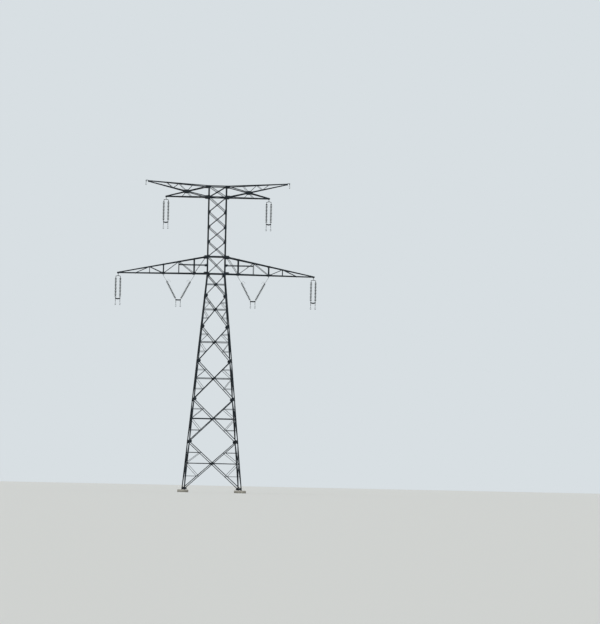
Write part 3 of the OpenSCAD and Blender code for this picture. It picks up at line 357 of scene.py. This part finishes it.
for name, node in frame["nodes"].items():
    node.data.materials.clear()
    if "footing" in name:
        node.data.materials.append(concrete)
    elif "fittings" in name or "clamp" in name:
        node.data.materials.append(galvanised)
    elif "discs" in name:
        node.data.materials.append(glass)
    else:
        node.data.materials.append(paint)


# Turned shapes: doubles closer than this are merged, edges flatter than this are smooth
turning = {"merge": 0.00005, "smoothAngle": 38}


def turnedShape(name, profile, sides, ring):
    # a circle, extruded and resized along a profile of (radius, height); a ring ends where it began
    deselectAll()
    radius, height = profile[0]
    bpy.ops.mesh.primitive_circle_add(vertices=sides, radius=radius, location=(0, 0, height),
                                      fill_type="NOTHING" if ring else "NGON")
    piece = bpy.context.object
    piece.name = name
    bpy.ops.object.transform_apply()
    bpy.ops.object.mode_set(mode="EDIT")
    steps = profile + profile[:1] if ring else profile
    for (r0, z0), (r1, z1) in zip(steps, steps[1:]):
        bpy.ops.mesh.extrude_region_move(TRANSFORM_OT_translate={"value": (0, 0, z1 - z0)})
        bpy.ops.transform.resize(value=(r1 / r0, r1 / r0, 1))
    if not ring:
        bpy.ops.mesh.select_all(action="DESELECT")
        bpy.ops.mesh.select_non_manifold()
        bpy.ops.mesh.edge_face_add()
    bpy.ops.mesh.select_all(action="SELECT")
    bpy.ops.mesh.remove_doubles(threshold=turning["merge"])
    bpy.ops.mesh.normals_make_consistent(inside=False)
    bpy.ops.object.mode_set(mode="OBJECT")
    bpy.ops.object.shade_smooth_by_angle(angle=math.radians(turning["smoothAngle"]))
    return piece


def joinPieces(name, parts):
    deselectAll()
    for part in parts:
        part.select_set(True)
    bpy.context.view_layer.objects.active = parts[0]
    if len(parts) > 1:
        bpy.ops.object.join()
    parts[0].name = name
    return parts[0]


def copyAt(piece, places):
    # copies of a piece, each with its own mesh moved to its place
    copies = []
    for place in places:
        copy = piece.copy()
        copy.data = piece.data.copy()
        copy.data.transform(place)
        bpy.context.scene.collection.objects.link(copy)
        copies.append(copy)
    return copies


def finishPiece(piece, body, material):
    piece.data.materials.clear()
    piece.data.materials.append(material)
    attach(piece, body)


# Disc units: pressed glass shell with ribs below, iron cap cemented over its neck, steel pin
# with a ball that sits in the next cap's socket
discUnit = {
    "pitch": 0.146, "count": 13, "shellSides": 24, "capSides": 16, "pinSides": 10,
    "shell": [(0.044, -0.052), (0.052, -0.063), (0.078, -0.072), (0.106, -0.083), (0.122, -0.094),
              (0.1275, -0.104), (0.1255, -0.111), (0.1180, -0.106), (0.1080, -0.101), (0.1000, -0.119),
              (0.0945, -0.119), (0.0900, -0.099), (0.0820, -0.097), (0.0765, -0.113), (0.0715, -0.113),
              (0.0670, -0.095), (0.0600, -0.094), (0.0550, -0.108), (0.0500, -0.108), (0.0450, -0.090),
              (0.0250, -0.088), (0.0250, -0.052)],
    "cap": [(0.020, 0.0), (0.026, -0.0005), (0.033, -0.006), (0.036, -0.014), (0.042, -0.021),
            (0.049, -0.027), (0.051, -0.036), (0.051, -0.058), (0.0535, -0.061), (0.0535, -0.066),
            (0.040, -0.067)],
    "pin": [(0.030, -0.086), (0.027, -0.097), (0.013, -0.099), (0.010, -0.104), (0.010, -0.138),
            (0.015, -0.143), (0.016, -0.150), (0.011, -0.156)],
}
# Where the strings start: below the hanger and beside it, and how the legs of a V lean
doubleSet = {"beside": 0.225, "top": 0.390}
vSet = {"halfSpan": 1.53, "drop": 2.47, "beside": 0.225, "end": 0.135}
hangers = {joint["child"]: Vector(joint["pos_m"]) for joint in frame["joints"]}


def stringPlaces(body):
    # the frames of the two strings that hang from one hanger
    at = hangers[body]
    if body.startswith("i_string"):
        return [Matrix.Translation(at + Vector((side * doubleSet["beside"], 0, -doubleSet["top"])))
                for side in (-1, 1)]
    run = vSet["halfSpan"] - vSet["beside"]
    leg = math.hypot(run, vSet["drop"])
    lean = math.atan2(run, vSet["drop"])
    link = leg - discUnit["count"] * discUnit["pitch"] - vSet["end"]
    return [Matrix.Translation(at + Vector((side * vSet["halfSpan"], 0, 0)))
            @ Matrix.Rotation(side * lean, 4, "Y") @ Matrix.Translation((0, 0, -link)) for side in (-1, 1)]


def makeStrings(unit):
    shell = turnedShape("shell", unit["shell"], unit["shellSides"], True)
    cap = turnedShape("cap", unit["cap"], unit["capSides"], False)
    pin = turnedShape("pin", unit["pin"], unit["pinSides"], False)
    capAndPin = joinPieces("capAndPin", [cap, pin])
    for part in (shell, capAndPin):
        deselectAll()
        bpy.context.view_layer.objects.active = part
        part.select_set(True)
        row = part.modifiers.new("row", "ARRAY")
        row.count = unit["count"]
        row.use_relative_offset = False
        row.use_constant_offset = True
        row.constant_offset_displace = (0, 0, -unit["pitch"])
        bpy.ops.object.modifier_apply(modifier="row")
    for body in hangers:
        if "string" not in body:
            continue
        places = stringPlaces(body)
        shells = joinPieces(body + "_glass_shells", copyAt(shell, places))
        irons = joinPieces(body + "_caps_and_pins", copyAt(capAndPin, places))
        finishPiece(shells, body, glass)
        finishPiece(irons, body, iron)
        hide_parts(body + "_discs")
        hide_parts(body + "_discs")
    bpy.data.objects.remove(shell)
    bpy.data.objects.remove(capAndPin)


makeStrings(discUnit)
print("disc strings made")

# Bolts: hexagon heads outside, nuts inside, a washer under each, all hot dip galvanised. Sizes in
# metres: across flats, washer, and how far the shank stands out of the nut.
boltSizes = {
    "m20": {"flats": 0.030, "head": 0.0125, "nut": 0.016, "shank": 0.020, "end": 0.008,
            "washer": 0.037, "thick": 0.003},
    "m16": {"flats": 0.024, "head": 0.010, "nut": 0.013, "shank": 0.016, "end": 0.007,
            "washer": 0.030, "thick": 0.003},
}
# The hexagon's chamfer is a share of its corner radius, in plan and down its side
boltShape = {"washerSides": 12, "shankSides": 8, "chamfer": 0.12, "chamferDrop": 0.6, "shankChamfer": 0.002}
# A washer lies flat within this much, round so many points, square to the bolt, and what is bolted
# is this thick; each bolt is turned this many degrees more than the one before
boltSeat = {
    "flat": 0.0006, "rimPoints": 8, "square": 0.995, "grip": (0.004, 0.045), "reach": 0.06,
    "spacing": 0.038, "turn": 23,
}


def makeBoltEnd(name, size, withNut):
    # washer and chamfered hexagon, on the plane Z = 0; a nut also shows the end of the shank
    corner = size["flats"] / 2 / math.cos(math.radians(30))
    chamfer = boltShape["chamfer"] * corner
    washer, shank = size["washer"] / 2, size["shank"] / 2
    base = size["thick"]
    top = base + (size["nut"] if withNut else size["head"])
    side = top - boltShape["chamferDrop"] * chamfer
    parts = [
        turnedShape("washer", [(washer, 0), (washer, base)], boltShape["washerSides"], False),
        turnedShape("hexagon", [(corner, base), (corner, side), (corner - chamfer, top)], 6, False),
    ]
    if withNut:
        end, cut = top + size["end"], boltShape["shankChamfer"]
        profile = [(shank, top), (shank, end - cut), (shank - cut, end)]
        parts.append(turnedShape("shank", profile, boltShape["shankSides"], False))
    return joinPieces(name, parts)


def steelTree(names):
    # one search tree over the triangles of several CAD nodes
    corners, faces = [], []
    for name in names:
        mesh = frame["nodes"][name].data
        first = len(corners)
        corners += [vertex.co.copy() for vertex in mesh.vertices]
        faces += [[first + i for i in polygon.vertices] for polygon in mesh.polygons]
    return BVHTree.FromPolygons(corners, faces)


def findSeat(tree, spot, out, radius):
    # where a washer lies flat on the steel that faces along out, or None
    across = out.orthogonal().normalized()
    other = out.cross(across)
    angles = [2 * math.pi * k / boltSeat["rimPoints"] for k in range(boltSeat["rimPoints"])]
    rim = [radius * (math.cos(a) * across + math.sin(a) * other) for a in angles]
    depths = []
    for offset in [Vector()] + rim:
        start = spot + offset + boltSeat["reach"] * out
        hit, normal, _, distance = tree.ray_cast(start, -out, 2 * boltSeat["reach"])
        if hit is None or normal.dot(out) < boltSeat["square"]:
            return None
        depths.append(distance)
    if max(depths) - min(depths) > boltSeat["flat"]:
        return None
    return spot + (boltSeat["reach"] - min(depths)) * out


def boltPlaces(tree, spots, size, grips):
    # heads and nuts for the spots where both sides are flat and no other bolt is near
    heads, nuts, taken = [], [], []
    for spot, out in spots:
        if any((spot - other).length < boltSeat["spacing"] for other in taken):
            continue
        head = findSeat(tree, spot, out, size["washer"] / 2)
        nut = findSeat(tree, spot, -out, size["washer"] / 2)
        if head is None or nut is None:
            continue
        grip = (head - nut).dot(out)
        if not grips[0] < grip < grips[1]:
            continue
        taken.append(spot)
        spin = Matrix.Rotation(math.radians(boltSeat["turn"] * len(taken)), 4, "Z")
        for seat, way, places in ((head, out, heads), (nut, -out, nuts)):
            facing = way.to_track_quat("Z", "Y").to_matrix().to_4x4()
            places.append(Matrix.Translation(seat) @ facing @ spin)
    return heads, nuts


def addBolts(name, nodes, spots, size, grips=boltSeat["grip"]):
    heads, nuts = boltPlaces(steelTree(nodes), spots, boltSizes[size], grips)
    piece = joinPieces(name, copyAt(boltHeads[size], heads) + copyAt(boltNuts[size], nuts))
    finishPiece(piece, "tower", boltSteel)
    print(name, len(heads), "of", len(spots))


def alongBar(start, end, steps, across=(0,)):
    # points on a bar at distances from its start, in rows across it
    run = (end - start).normalized()
    side = Vector((-run.y, run.x))
    return [start + step * run + row * side for step in steps for row in across]


def placed(plane, spots):
    # spots drawn on a plane, as places in the tower with the way out of the plane
    out = (plane.to_3x3() @ Vector((0, 0, 1))).normalized()
    return [(plane @ Vector((spot.x, spot.y, 0)), out) for spot in spots]


# The tower's sizes that the bolts follow, in metres, as the solids have them. Levels on the mast
# are heights above the waist.
tower = {
    "baseWidth": 5.82, "mastWidth": 1.83, "waist": 21.77, "footNode": 0.35, "topNode": 21.715,
    "headPanel": 2.08, "panels": 5, "growth": 1.111, "levelStep": 0.005, "leg": 0.11, "legThick": 0.010,
    "mastLeg": 0.085, "mastLegThick": 0.009, "mastBays": 4, "seat": 0.0002,
    "lowerBottom": 0.055, "lowerTop": 1.765, "upperBottom": 7.715, "upperTop": 8.81,
}
slope = (tower["baseWidth"] - tower["mastWidth"]) / 2 / tower["waist"]
stretch = math.hypot(1, slope)  # length up a tapered face for a metre of height
halfMast = tower["mastWidth"] / 2


def panelLevels():
    # heights of the nodes on the body's legs, panels growing downwards
    growth, count = tower["growth"], tower["panels"]
    head = tower["topNode"] - tower["headPanel"]
    first = (head - tower["footNode"]) * (growth - 1) / (growth ** count - 1)
    levels = [head - first * (growth ** (count - i) - 1) / (growth - 1) for i in range(count + 1)]
    return [round(z / tower["levelStep"]) * tower["levelStep"] for z in levels] + [tower["topNode"]]


def halfWidth(z):
    return tower["baseWidth"] / 2 - slope * z


def crossingHeight(low, high):
    # where the two diagonals of a tapered panel cross
    return low + (high - low) * halfWidth(low) / (halfWidth(low) + halfWidth(high))


def bodyFrame(k):
    # a tapered face: X across, Y up the face, Z out of it, with the bars' outer side at Z = 0
    return (Matrix.Rotation(math.radians(90 * k), 4, "Z")
            @ Matrix.Translation((0, -tower["baseWidth"] / 2, 0))
            @ Matrix.Rotation(math.atan2(1, slope), 4, "X")
            @ Matrix.Translation((0, 0, -tower["legThick"] - tower["seat"])))


def mastFrame(k):
    # an upright face: X across, Y up from the waist, Z out of it
    return (Matrix.Rotation(math.radians(90 * k), 4, "Z")
            @ Matrix.Translation((0, -halfMast, tower["waist"]))
            @ Matrix.Rotation(math.pi / 2, 4, "X")
            @ Matrix.Translation((0, 0, -tower["mastLegThick"] - tower["seat"])))


# Distances along each bar of the body from its end, and rows across it
bodyBolts = {
    "leg": (-0.15, -0.1, 0.1, 0.15), "diagonal": (0.03, 0.09, 0.14), "diagonalAtCentre": (0.055, 0.1),
    "strut": (0.024,), "strutAtCentre": (0.05, 0.09), "stiffener": (0.022,), "slopedStiffener": (0.02,),
    "row": 0.0025,
}


def bodySpots():
    b = bodyBolts
    levels = panelLevels()
    point = {(side, z): Vector((side * (halfWidth(z) - tower["leg"] / 2), z * stretch))
             for side in (-1, 1) for z in levels}
    spots = []
    for z in levels:
        for side in (-1, 1):
            lean = Vector((-side * slope, stretch)).normalized()
            spots += [point[side, z] + step * lean for step in b["leg"]]
    for low, high in zip(levels, levels[1:]):
        crossing = crossingHeight(low, high)
        centre = Vector((0, crossing * stretch))
        spots.append(centre)
        for side in (-1, 1):
            strutEnd = Vector((side * (halfWidth(crossing) - tower["leg"] / 2), centre.y))
            for z in (low, high):
                corner = point[side, z]
                spots += alongBar(corner, centre, b["diagonal"])
                spots += alongBar(centre, corner, b["diagonalAtCentre"])
                middle = (corner + centre) / 2
                foot = Vector((side * (halfWidth(middle.y / stretch) - tower["leg"] / 2), middle.y))
                spots.append(middle)
                spots += alongBar(foot, middle, b["stiffener"], (-b["row"],))
                spots += alongBar(strutEnd, middle, b["slopedStiffener"], (-b["row"], b["row"]))
            spots += alongBar(strutEnd, centre, b["strut"])
            spots += alongBar(centre, strutEnd, b["strutAtCentre"])
    return spots


# The same for the mast; ties run across it only at the crossarms
mastBolts = {
    "leg": (-0.115, -0.07, 0.07, 0.115), "tie": (0.012, 0.062, 0.1), "tieRows": (-0.025, 0.025),
    "diagonal": (0.022, 0.07, 0.11), "diagonalAtCentre": (0.045,),
}


def mastSpots():
    b = mastBolts
    half = halfMast - tower["mastLeg"] / 2
    bays = tower["mastBays"]
    bay = (tower["upperBottom"] - tower["lowerTop"]) / bays
    levels = [tower["lowerBottom"]] + [tower["lowerTop"] + i * bay for i in range(bays + 1)]
    levels.append(tower["upperTop"])
    spots = []
    for i, level in enumerate(levels):
        for side in (-1, 1):
            spots += [Vector((side * half, level + step)) for step in b["leg"]]
            if i < 2 or i > bays:
                spots += alongBar(Vector((side * half, level)), Vector((0, level)), b["tie"], b["tieRows"])
    for low, high in zip(levels, levels[1:]):
        centre = Vector((0, (low + high) / 2))
        spots.append(centre)
        for side in (-1, 1):
            for level in (low, high):
                corner = Vector((side * half, level))
                spots += alongBar(corner, centre, b["diagonal"])
                spots += alongBar(centre, corner, b["diagonalAtCentre"])
    return spots


# The crossarms' sizes, in metres: how high they start, how far they reach, how far their chords
# fall to the tip, and where the bars meet them. The fan round the upper gusset and the bars in plan
# near it stand at shares of the gusset's distance from the mast.
lowerArm = {
    "z": 21.77, "reach": 9.87, "tipHalf": 0.122, "droop": 0.095, "topFall": 1.791, "root": 0.13,
    "nodes": (2.2, 3.73, 5.26, 6.643, 8.072), "gussets": (0, 2), "mid": 0.91,
}
upperArm = {
    "z": 29.44, "reach": 6.99, "tipHalf": 0.102, "droop": 0.025, "bottom": 0.045, "top": 1.14,
    "topFall": 1.114, "bottomReach": 5.22, "peakRise": 0.41, "peakDepth": 0.05,
    "peakNodes": (0.2, 0.35, 0.52), "fanTop": 0.72, "fanBottom": (0.78, 1.22),
    "planBottom": (0.4, 0.85, 1.3), "planTip": 0.065,
}


def planAngle(arm):
    # how much a side of a crossarm turns inwards to the tip
    return math.atan((halfMast - arm["tipHalf"]) / (arm["reach"] - halfMast))


def armFrame(side, end, arm):
    # a crossarm's side: X outwards along its chords, Y up, Z out of the arm
    return (Matrix.Diagonal((side, -end, 1, 1)) @ Matrix.Translation((halfMast, -halfMast, arm["z"]))
            @ Matrix.Rotation(planAngle(arm), 4, "Z") @ Matrix.Rotation(math.pi / 2, 4, "X"))


# Two rows of bolts go through each root plate, along its chord
rootPlate = {"steps": (0.0, 0.055, 0.11, 0.165, 0.22), "rows": (-0.024, 0.024)}


def rootRows(u, height, drop):
    # the plate's bolts, from a distance u past the mast, on a chord that drops so much a metre
    return [Vector((u + step, height - drop * (u + step) + row))
            for step in rootPlate["steps"] for row in rootPlate["rows"]]


# Distances along each bar of the lower crossarm from its end, and rows across it
lowerBolts = {
    "root": 0.065, "web": (0.0, 0.045, 0.09), "post": (0.0, 0.05), "postRows": (-0.026, 0.026),
    "gussetLow": (-0.12, -0.075, 0.075, 0.12), "gussetHigh": (-0.08, 0.08), "strut": (0.0, 0.04),
    "strutEnd": (0.0,), "tip": (0.04, 0.09, 0.14, 0.19, 0.235), "tipRows": (-0.02, 0.02),
}


def lowerSpots():
    arm, b = lowerArm, lowerBolts
    bottom, top = tower["lowerBottom"], tower["lowerTop"]
    cosPlan = math.cos(planAngle(arm))
    length = (arm["reach"] - halfMast) / cosPlan
    droop, fall = arm["droop"] / length, arm["topFall"] / length
    low = [Vector((u, bottom - droop * u)) for u in ((x - halfMast) / cosPlan for x in arm["nodes"])]
    high = [Vector((node.x, top - fall * node.x)) for node in low]
    root = Vector((arm["root"], top - fall * arm["root"]))
    tip = Vector((length, bottom - arm["droop"]))
    spots = rootRows(b["root"], bottom, droop) + rootRows(b["root"], top, fall)
    web = [(root, low[0]), (low[0], high[1]), (high[1], low[2]), (low[2], high[3]), (high[3], low[4]),
           (low[1], high[1]), (low[3], high[3])]
    for start, end in web:
        spots += alongBar(start, end, b["web"]) + alongBar(end, start, b["web"])
    for i in arm["gussets"]:
        for start, end in ((low[i], high[i]), (high[i], low[i])):
            spots += alongBar(start, end, b["post"], b["postRows"])
        spots += alongBar(low[i], low[4], b["gussetLow"])
        spots += alongBar(high[i], high[3], b["gussetHigh"])
    mid = Vector((arm["root"], arm["mid"]))
    spots += alongBar(mid, mid + Vector((1, 0)), b["strut"])
    spots += alongBar(Vector((low[1].x, arm["mid"])), mid, b["strutEnd"])
    return spots + alongBar(tip, low[0], b["tip"], b["tipRows"])


# The same for the upper crossarm and its peak; "web" counts from the gusset, "webEnd" from the far end
upperBolts = {
    "root": 0.06, "gusset": (-0.2, -0.15, -0.1, -0.05, 0.05, 0.1, 0.15, 0.2),
    "web": (0.0, 0.045, 0.1, 0.14), "webEnd": (0.0, 0.045),
    "tip": (0.04, 0.09, 0.14, 0.19, 0.235), "tipRows": (-0.018, 0.018),
    "peak": (0.05, 0.11, 0.17, 0.23, 0.28),
}


def upperCrossing():
    # how far along the side the crossarm's top chord crosses the peak's bottom chord
    arm = upperArm
    cosPlan = math.cos(planAngle(arm))
    length, peakLength = (arm["bottomReach"] - halfMast) / cosPlan, (arm["reach"] - halfMast) / cosPlan
    peakSlope = (arm["top"] + arm["peakRise"] - arm["peakDepth"] - arm["bottom"]) / peakLength
    return (arm["top"] - arm["bottom"]) / (peakSlope + arm["topFall"] / length)


def upperSpots():
    arm, b = upperArm, upperBolts
    cosPlan = math.cos(planAngle(arm))
    length, peakLength = (arm["bottomReach"] - halfMast) / cosPlan, (arm["reach"] - halfMast) / cosPlan
    bottomRoot, topRoot = Vector((0, arm["bottom"])), Vector((0, arm["top"]))
    bottomTip = Vector((length, arm["bottom"] - arm["droop"]))
    topTip = Vector((length, arm["top"] - arm["topFall"]))
    peakTop = Vector((peakLength, arm["top"] + arm["peakRise"]))
    peakBottom = peakTop - Vector((0, arm["peakDepth"]))
    crossing = upperCrossing()
    centre = topRoot.lerp(topTip, crossing / length)
    nodes = [crossing + share * (peakLength - crossing) for share in arm["peakNodes"]]

    def onBottom(u):
        return bottomRoot.lerp(bottomTip, u / length)

    def onPeakTop(u):
        return topRoot.lerp(peakTop, u / peakLength)

    spots = rootRows(b["root"], arm["bottom"], arm["droop"] / length)
    spots += rootRows(b["root"], arm["top"], -arm["peakRise"] / peakLength)
    spots.append(centre)
    for start, end in ((topRoot, topTip), (bottomRoot, peakBottom)):
        spots += alongBar(centre, centre + end - start, b["gusset"])
    peakNode = bottomRoot.lerp(peakBottom, nodes[1] / peakLength)
    web = [(centre, onPeakTop(arm["fanTop"] * crossing)), (centre, onPeakTop(nodes[0]))]
    web += [(centre, onBottom(share * crossing)) for share in arm["fanBottom"]]
    web += [(onPeakTop(nodes[0]), peakNode), (peakNode, onPeakTop(nodes[2]))]
    for start, end in web:
        spots += alongBar(end, start, b["webEnd"]) + alongBar(start, end, b["web"])
    spots += alongBar(bottomTip, bottomRoot, b["tip"], b["tipRows"])
    return spots + alongBar(peakTop, topRoot, b["peak"]) + alongBar(peakBottom, bottomRoot, b["peak"])


# Bars in plan lie on the inward flanges of the chords and struts, each end with one bolt through
# both. "inset" is how far in from the mast's faces their ends are, "rise" how high a diamond's
# bars lie over its level, and the flanges say where the bars over the top chords lie.
planBars = {
    "inset": 0.046, "ends": (0.022, 0.034, 0.046, 0.06, 0.075), "rows": (-0.0025, 0.0025),
    "grip": (0.010, 0.03), "first": 0.1, "chordThick": 0.008, "lowerFlange": 0.042, "lowerSunk": 0.0025,
    "upperFlange": 0.0366, "lowerTops": 4, "upperTops": (0, 2), "behindLeg": 0.005,
    "bodyDiamond": {"offset": 0.2, "width": 0.065, "rise": 0.0345},
    "mastDiamond": {"offset": 0.15, "width": 0.1, "rise": 0.0502},
}


def planFrame(side, z, fall):
    # a plane of bars in a crossarm: X outwards from the mast, Y across, falling by an angle
    return (Matrix.Diagonal((side, 1, 1, 1)) @ Matrix.Translation((halfMast, 0, z))
            @ Matrix.Rotation(fall, 4, "Y"))


def barEnds(bars):
    # where a bolt may go near both ends of each bar
    return [spot for start, end in bars for way in ((start, end), (end, start))
            for spot in alongBar(*way, planBars["ends"], planBars["rows"])]


def struts(arm, runs, fall=0):
    # struts across an arm at distances from the mast, on a plane that falls by an angle
    bars = []
    for run in runs:
        half = halfMast - run * math.tan(planAngle(arm)) - planBars["inset"]
        along = run / math.cos(fall)
        bars.append((Vector((along, -half)), Vector((along, half))))
    return bars


def zigzag(bars):
    # from one end of each strut to the other end of the next
    return [(bars[i][i % 2], bars[i + 1][1 - i % 2]) for i in range(len(bars) - 1)]


def bottomPlanSpots(side, arm, runs, fall):
    # the struts that lie on the bottom chords, past the mast's own, and the zigzag between them
    across = struts(arm, runs)
    plane = planFrame(side, arm["z"], fall) @ Matrix.Translation((0, 0, planBars["chordThick"]))
    return placed(plane, barEnds(across[1:] + zigzag(across)))


def lowerPlanSpots(side):
    arm = lowerArm
    length = arm["reach"] - halfMast
    nodes = [x - halfMast for x in arm["nodes"]]
    spots = bottomPlanSpots(side, arm, [planBars["first"]] + nodes, math.atan(arm["droop"] / length))
    fall = math.atan(arm["topFall"] / length)
    z = arm["z"] + tower["lowerTop"] + planBars["lowerFlange"] / math.cos(fall) - planBars["lowerSunk"]
    return spots + placed(planFrame(side, z, fall), barEnds(struts(arm, nodes[:planBars["lowerTops"]], fall)))


def upperPlanSpots(side):
    arm = upperArm
    length, peakLength = arm["bottomReach"] - halfMast, arm["reach"] - halfMast
    cosPlan = math.cos(planAngle(arm))
    crossing = upperCrossing()
    runs = [planBars["first"]] + [share * crossing for share in arm["planBottom"]]
    runs.append(length - arm["planTip"])
    spots = bottomPlanSpots(side, arm, runs, math.atan(arm["droop"] / length))
    nodes = [crossing + share * (peakLength / cosPlan - crossing) for share in arm["peakNodes"]]
    tops = [arm["fanTop"] * crossing] + [nodes[i] for i in planBars["upperTops"]]
    rise = math.atan(arm["peakRise"] / peakLength)
    plane = planFrame(side, arm["z"] + arm["top"] + planBars["upperFlange"], -rise)
    return spots + placed(plane, barEnds(struts(arm, [u * cosPlan for u in tops])))


def diamondSpots():
    # the diamond frames inside the tower, at two crossings and at three of the mast's levels
    levels = panelLevels()
    frames = []
    for low, high in zip(levels[:2], levels[1:3]):
        z = crossingHeight(low, high)
        frames.append((z, halfWidth(z) - tower["legThick"], planBars["bodyDiamond"]))
    for level in ("lowerBottom", "lowerTop", "upperBottom"):
        frames.append((tower["waist"] + tower[level], halfMast - tower["mastLegThick"],
                       planBars["mastDiamond"]))
    spots = []
    for z, inner, diamond in frames:
        end = inner - planBars["behindLeg"] - diamond["width"] / 2
        bar = (Vector((diamond["offset"], -end)), Vector((end, -diamond["offset"])))
        level = Matrix.Translation((0, 0, z + diamond["rise"]))
        for k in range(4):
            spots += placed(level @ Matrix.Rotation(math.radians(90 * k), 4, "Z"), barEnds([bar]))
    return spots


boltHeads = {size: makeBoltEnd(size + "Head", boltSizes[size], False) for size in boltSizes}
boltNuts = {size: makeBoltEnd(size + "Nut", boltSizes[size], True) for size in boltSizes}
nodeNames = list(frame["nodes"])
legs = [name for name in nodeNames if name.startswith("leg")]
mastLegs = [name for name in nodeNames if name.startswith("mast_leg")]
for k, face in enumerate(("front", "right", "back", "left")):
    armSides = [name for name in nodeNames if name.endswith("_" + face) and "arm" in name]
    addBolts("body_bolts_" + face, ["body_lattice_" + face] + legs, placed(bodyFrame(k), bodySpots()), "m20")
    addBolts("mast_bolts_" + face, ["mast_lattice_" + face] + mastLegs + armSides,
             placed(mastFrame(k), mastSpots()), "m16")
for level, arm, spots in (("lower", lowerArm, lowerSpots()), ("upper", upperArm, upperSpots())):
    for sideName, side in (("left", -1), ("right", 1)):
        for endName, end in (("front", -1), ("back", 1)):
            node = "_".join((level, "arm", sideName, endName))
            addBolts(node + "_bolts", [node], placed(armFrame(side, end, arm), spots), "m16")
addBolts("plan_bracing_bolts", [name for name in nodeNames if name == "plan_bracing" or "lattice" in name],
         diamondSpots(), "m16", planBars["grip"])
for level, planOf in (("lower", lowerPlanSpots), ("upper", upperPlanSpots)):
    for sideName, side in (("left", -1), ("right", 1)):
        stem = level + "_arm_" + sideName
        addBolts(stem + "_bracing_bolts", [stem + "_front", stem + "_back", stem + "_bracing"],
                 planOf(side), "m16", planBars["grip"])
for piece in list(boltHeads.values()) + list(boltNuts.values()):
    bpy.data.objects.remove(piece)
print("bolts made")
